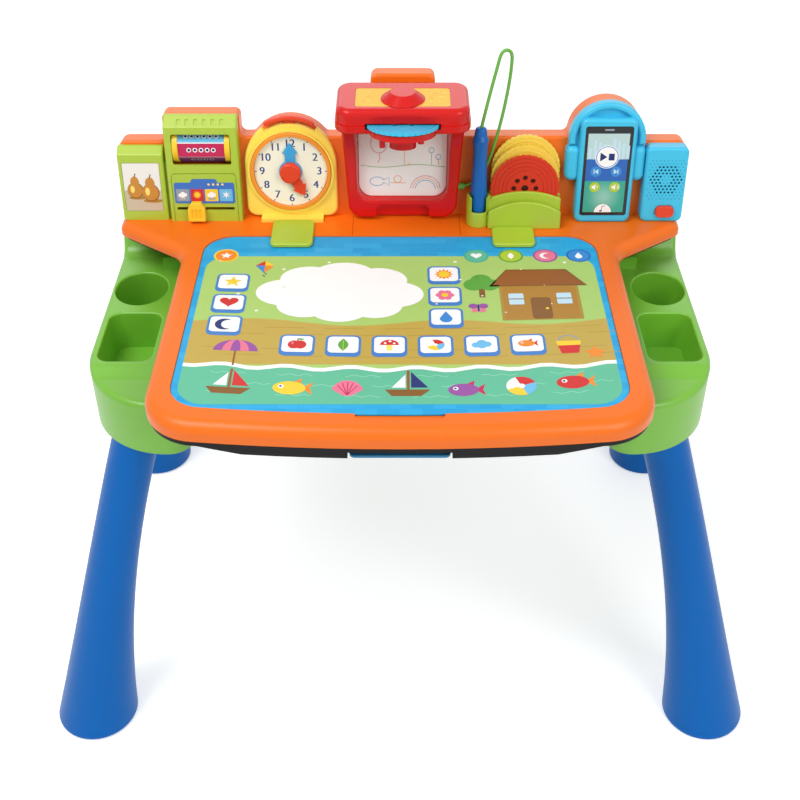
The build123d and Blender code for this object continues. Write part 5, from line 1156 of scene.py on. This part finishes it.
# Painted shade at the ledge's steps
def draw_ledge_seams():
    """Fine darker lines each side of the projector: painted shade of the small steps where the ledge's
    middle sits lower.
    """
    step_lines = Print("ledge_step_shade", on_level(DESK_Z))
    front, rear, width = 27, 62, 0.7
    for x in (-41, 52):
        step_lines.fill(stroke([(x, front), (x, rear)], width), "seam")
    step_lines.finish("desktop")


draw_ledge_seams()

# Tether cord: the route of the part's source, as a smooth line
CORD_DIAMETER = 2.8 * MM
CORD_SPOTS = [
    (52.5, 27.5, 3.75), (63, 28.5, 3.75), (73.5, 44, 6.2), (80.5, 66, 6.75), (86.5, 93, 6.75),
    (90, 115, 6.75), (91.6, 131, 7.8), (91.8, 146.5, 9), (83, 147.5, 10.8), (79.6, 133.5, 11.9),
    (74.2, 111, 13.3), (70.3, 93, 14.1), (68, 82, 14.5),
]


def cord_curve():
    """Smooth curve with the route's points as its control points."""
    curve = bpy.data.curves.new("cord_line", "CURVE")
    curve.dimensions = "3D"
    curve.resolution_u = 10
    spline = curve.splines.new("NURBS")
    spline.points.add(len(CORD_SPOTS) - 1)
    for point, spot in zip(spline.points, CORD_SPOTS):
        point.co = (*panel_point(*spot), 1.0)
    spline.order_u = 3
    spline.use_endpoint_u = True
    return curve


def cord_tube(curve):
    """Round tube along the curve, in the cord's green."""
    curve.bevel_depth = CORD_DIAMETER / 2
    curve.bevel_resolution = 4
    curve.use_fill_caps = True
    mesh = mesh_of(curve)
    mesh.name = "cord"
    mesh.materials.clear()
    mesh.materials.append(CORD_GREEN)
    for polygon in mesh.polygons:
        polygon.use_smooth = True
    return mesh


def make_cord():
    """Round cord from the projector's side to the pen."""
    curve = cord_curve()
    line = mesh_of(curve)
    bpy.data.meshes.remove(line)
    cord = add_object("cord", cord_tube(curve))
    bpy.data.curves.remove(curve)
    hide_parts("tether_cord")
    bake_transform(cord)


make_cord()


# Floor, light and camera
WHITE = (1.0, 1.0, 1.0, 1.0)
FLOOR_HALF = 6.0
FLOOR_COLOUR = (0.94, 0.94, 0.94, 1.0)
FLOOR_ROUGHNESS = 0.9
FLOOR_GLOW = 0.44
SKY_LIGHT = 0.42
CAMERA_PLACE = (0, -0.870, 0.934)
CAMERA_DOWN = 38.5
LENS, SENSOR = 54, 36


def seen_directly(tree):
    """Factor that is one for rays from the camera, a mirror or glass, and zero for all others."""
    path = tree.nodes.new("ShaderNodeLightPath")
    total = path.outputs["Is Camera Ray"]
    for name in ("Is Glossy Ray", "Is Transmission Ray"):
        node = tree.nodes.new("ShaderNodeMath")
        node.operation = "MAXIMUM"
        tree.links.new(total, node.inputs[0])
        tree.links.new(path.outputs[name], node.inputs[1])
        total = node.outputs[0]
    return total


def seen_strength(tree, unseen, seen):
    """Strength that changes from unseen to seen for rays that show the surroundings directly."""
    node = tree.nodes.new("ShaderNodeMapRange")
    node.inputs["To Min"].default_value = unseen
    node.inputs["To Max"].default_value = seen
    tree.links.new(seen_directly(tree), node.inputs["Value"])
    return node.outputs["Result"]


def make_floor():
    """Wide white floor that keeps the desk's soft shadow."""
    mesh = bpy.data.meshes.new("floor")
    corners = rectangle(-FLOOR_HALF, FLOOR_HALF, -FLOOR_HALF, FLOOR_HALF)
    mesh.from_pydata([(x, y, 0) for x, y in corners], [], [(0, 1, 2, 3)])
    floor = add_object("floor", mesh)
    material = bpy.data.materials.new("floor_paint")
    material.use_nodes = True
    shader = shader_of(material)
    shader.inputs["Base Color"].default_value = FLOOR_COLOUR
    shader.inputs["Roughness"].default_value = FLOOR_ROUGHNESS
    shader.inputs["Emission Color"].default_value = WHITE
    glow = seen_strength(material.node_tree, 0.0, FLOOR_GLOW)
    material.node_tree.links.new(glow, shader.inputs["Emission Strength"])
    mesh.materials.append(material)


def add_lamp(name, place, aim, wide, tall, watts):
    """Soft lamp that shines from place towards aim."""
    light = bpy.data.lights.new(name, "AREA")
    light.shape = "RECTANGLE"
    light.size = wide
    light.size_y = tall
    light.energy = watts
    lamp = add_object(name, light)
    lamp.location = place
    lamp.rotation_euler = (Vector(aim) - Vector(place)).to_track_quat("-Z", "Y").to_euler()


def make_world():
    """White surroundings that also fill the shadows."""
    world = bpy.data.worlds.new("studio")
    bpy.context.scene.world = world
    world.use_nodes = True
    background = world.node_tree.nodes["Background"]
    background.inputs["Color"].default_value = WHITE
    strength = seen_strength(world.node_tree, SKY_LIGHT, 1.0)
    world.node_tree.links.new(strength, background.inputs["Strength"])


def make_camera():
    """Camera at the photograph's place: in front of the desk, looking down at it."""
    data = bpy.data.cameras.new("camera")
    data.lens = LENS
    data.sensor_width = SENSOR
    camera = add_object("camera", data)
    camera.location = CAMERA_PLACE
    camera.rotation_euler = (radians(90 - CAMERA_DOWN), 0, 0)
    bpy.context.scene.camera = camera


bpy.context.scene.view_settings.view_transform = "Standard"
make_floor()
make_world()
add_lamp("key", place=(-0.8, -0.7, 2.0), aim=(0, 0, 0.3), wide=1.0, tall=1.0, watts=22)
add_lamp("fill", place=(1.0, -1.3, 1.45), aim=(0, 0, 0.4), wide=1.0, tall=1.0, watts=13)
add_lamp("back", place=(0, 2.0, 1.35), aim=(0, 0, 0.45), wide=2.4, tall=0.7, watts=6.5)
make_camera()
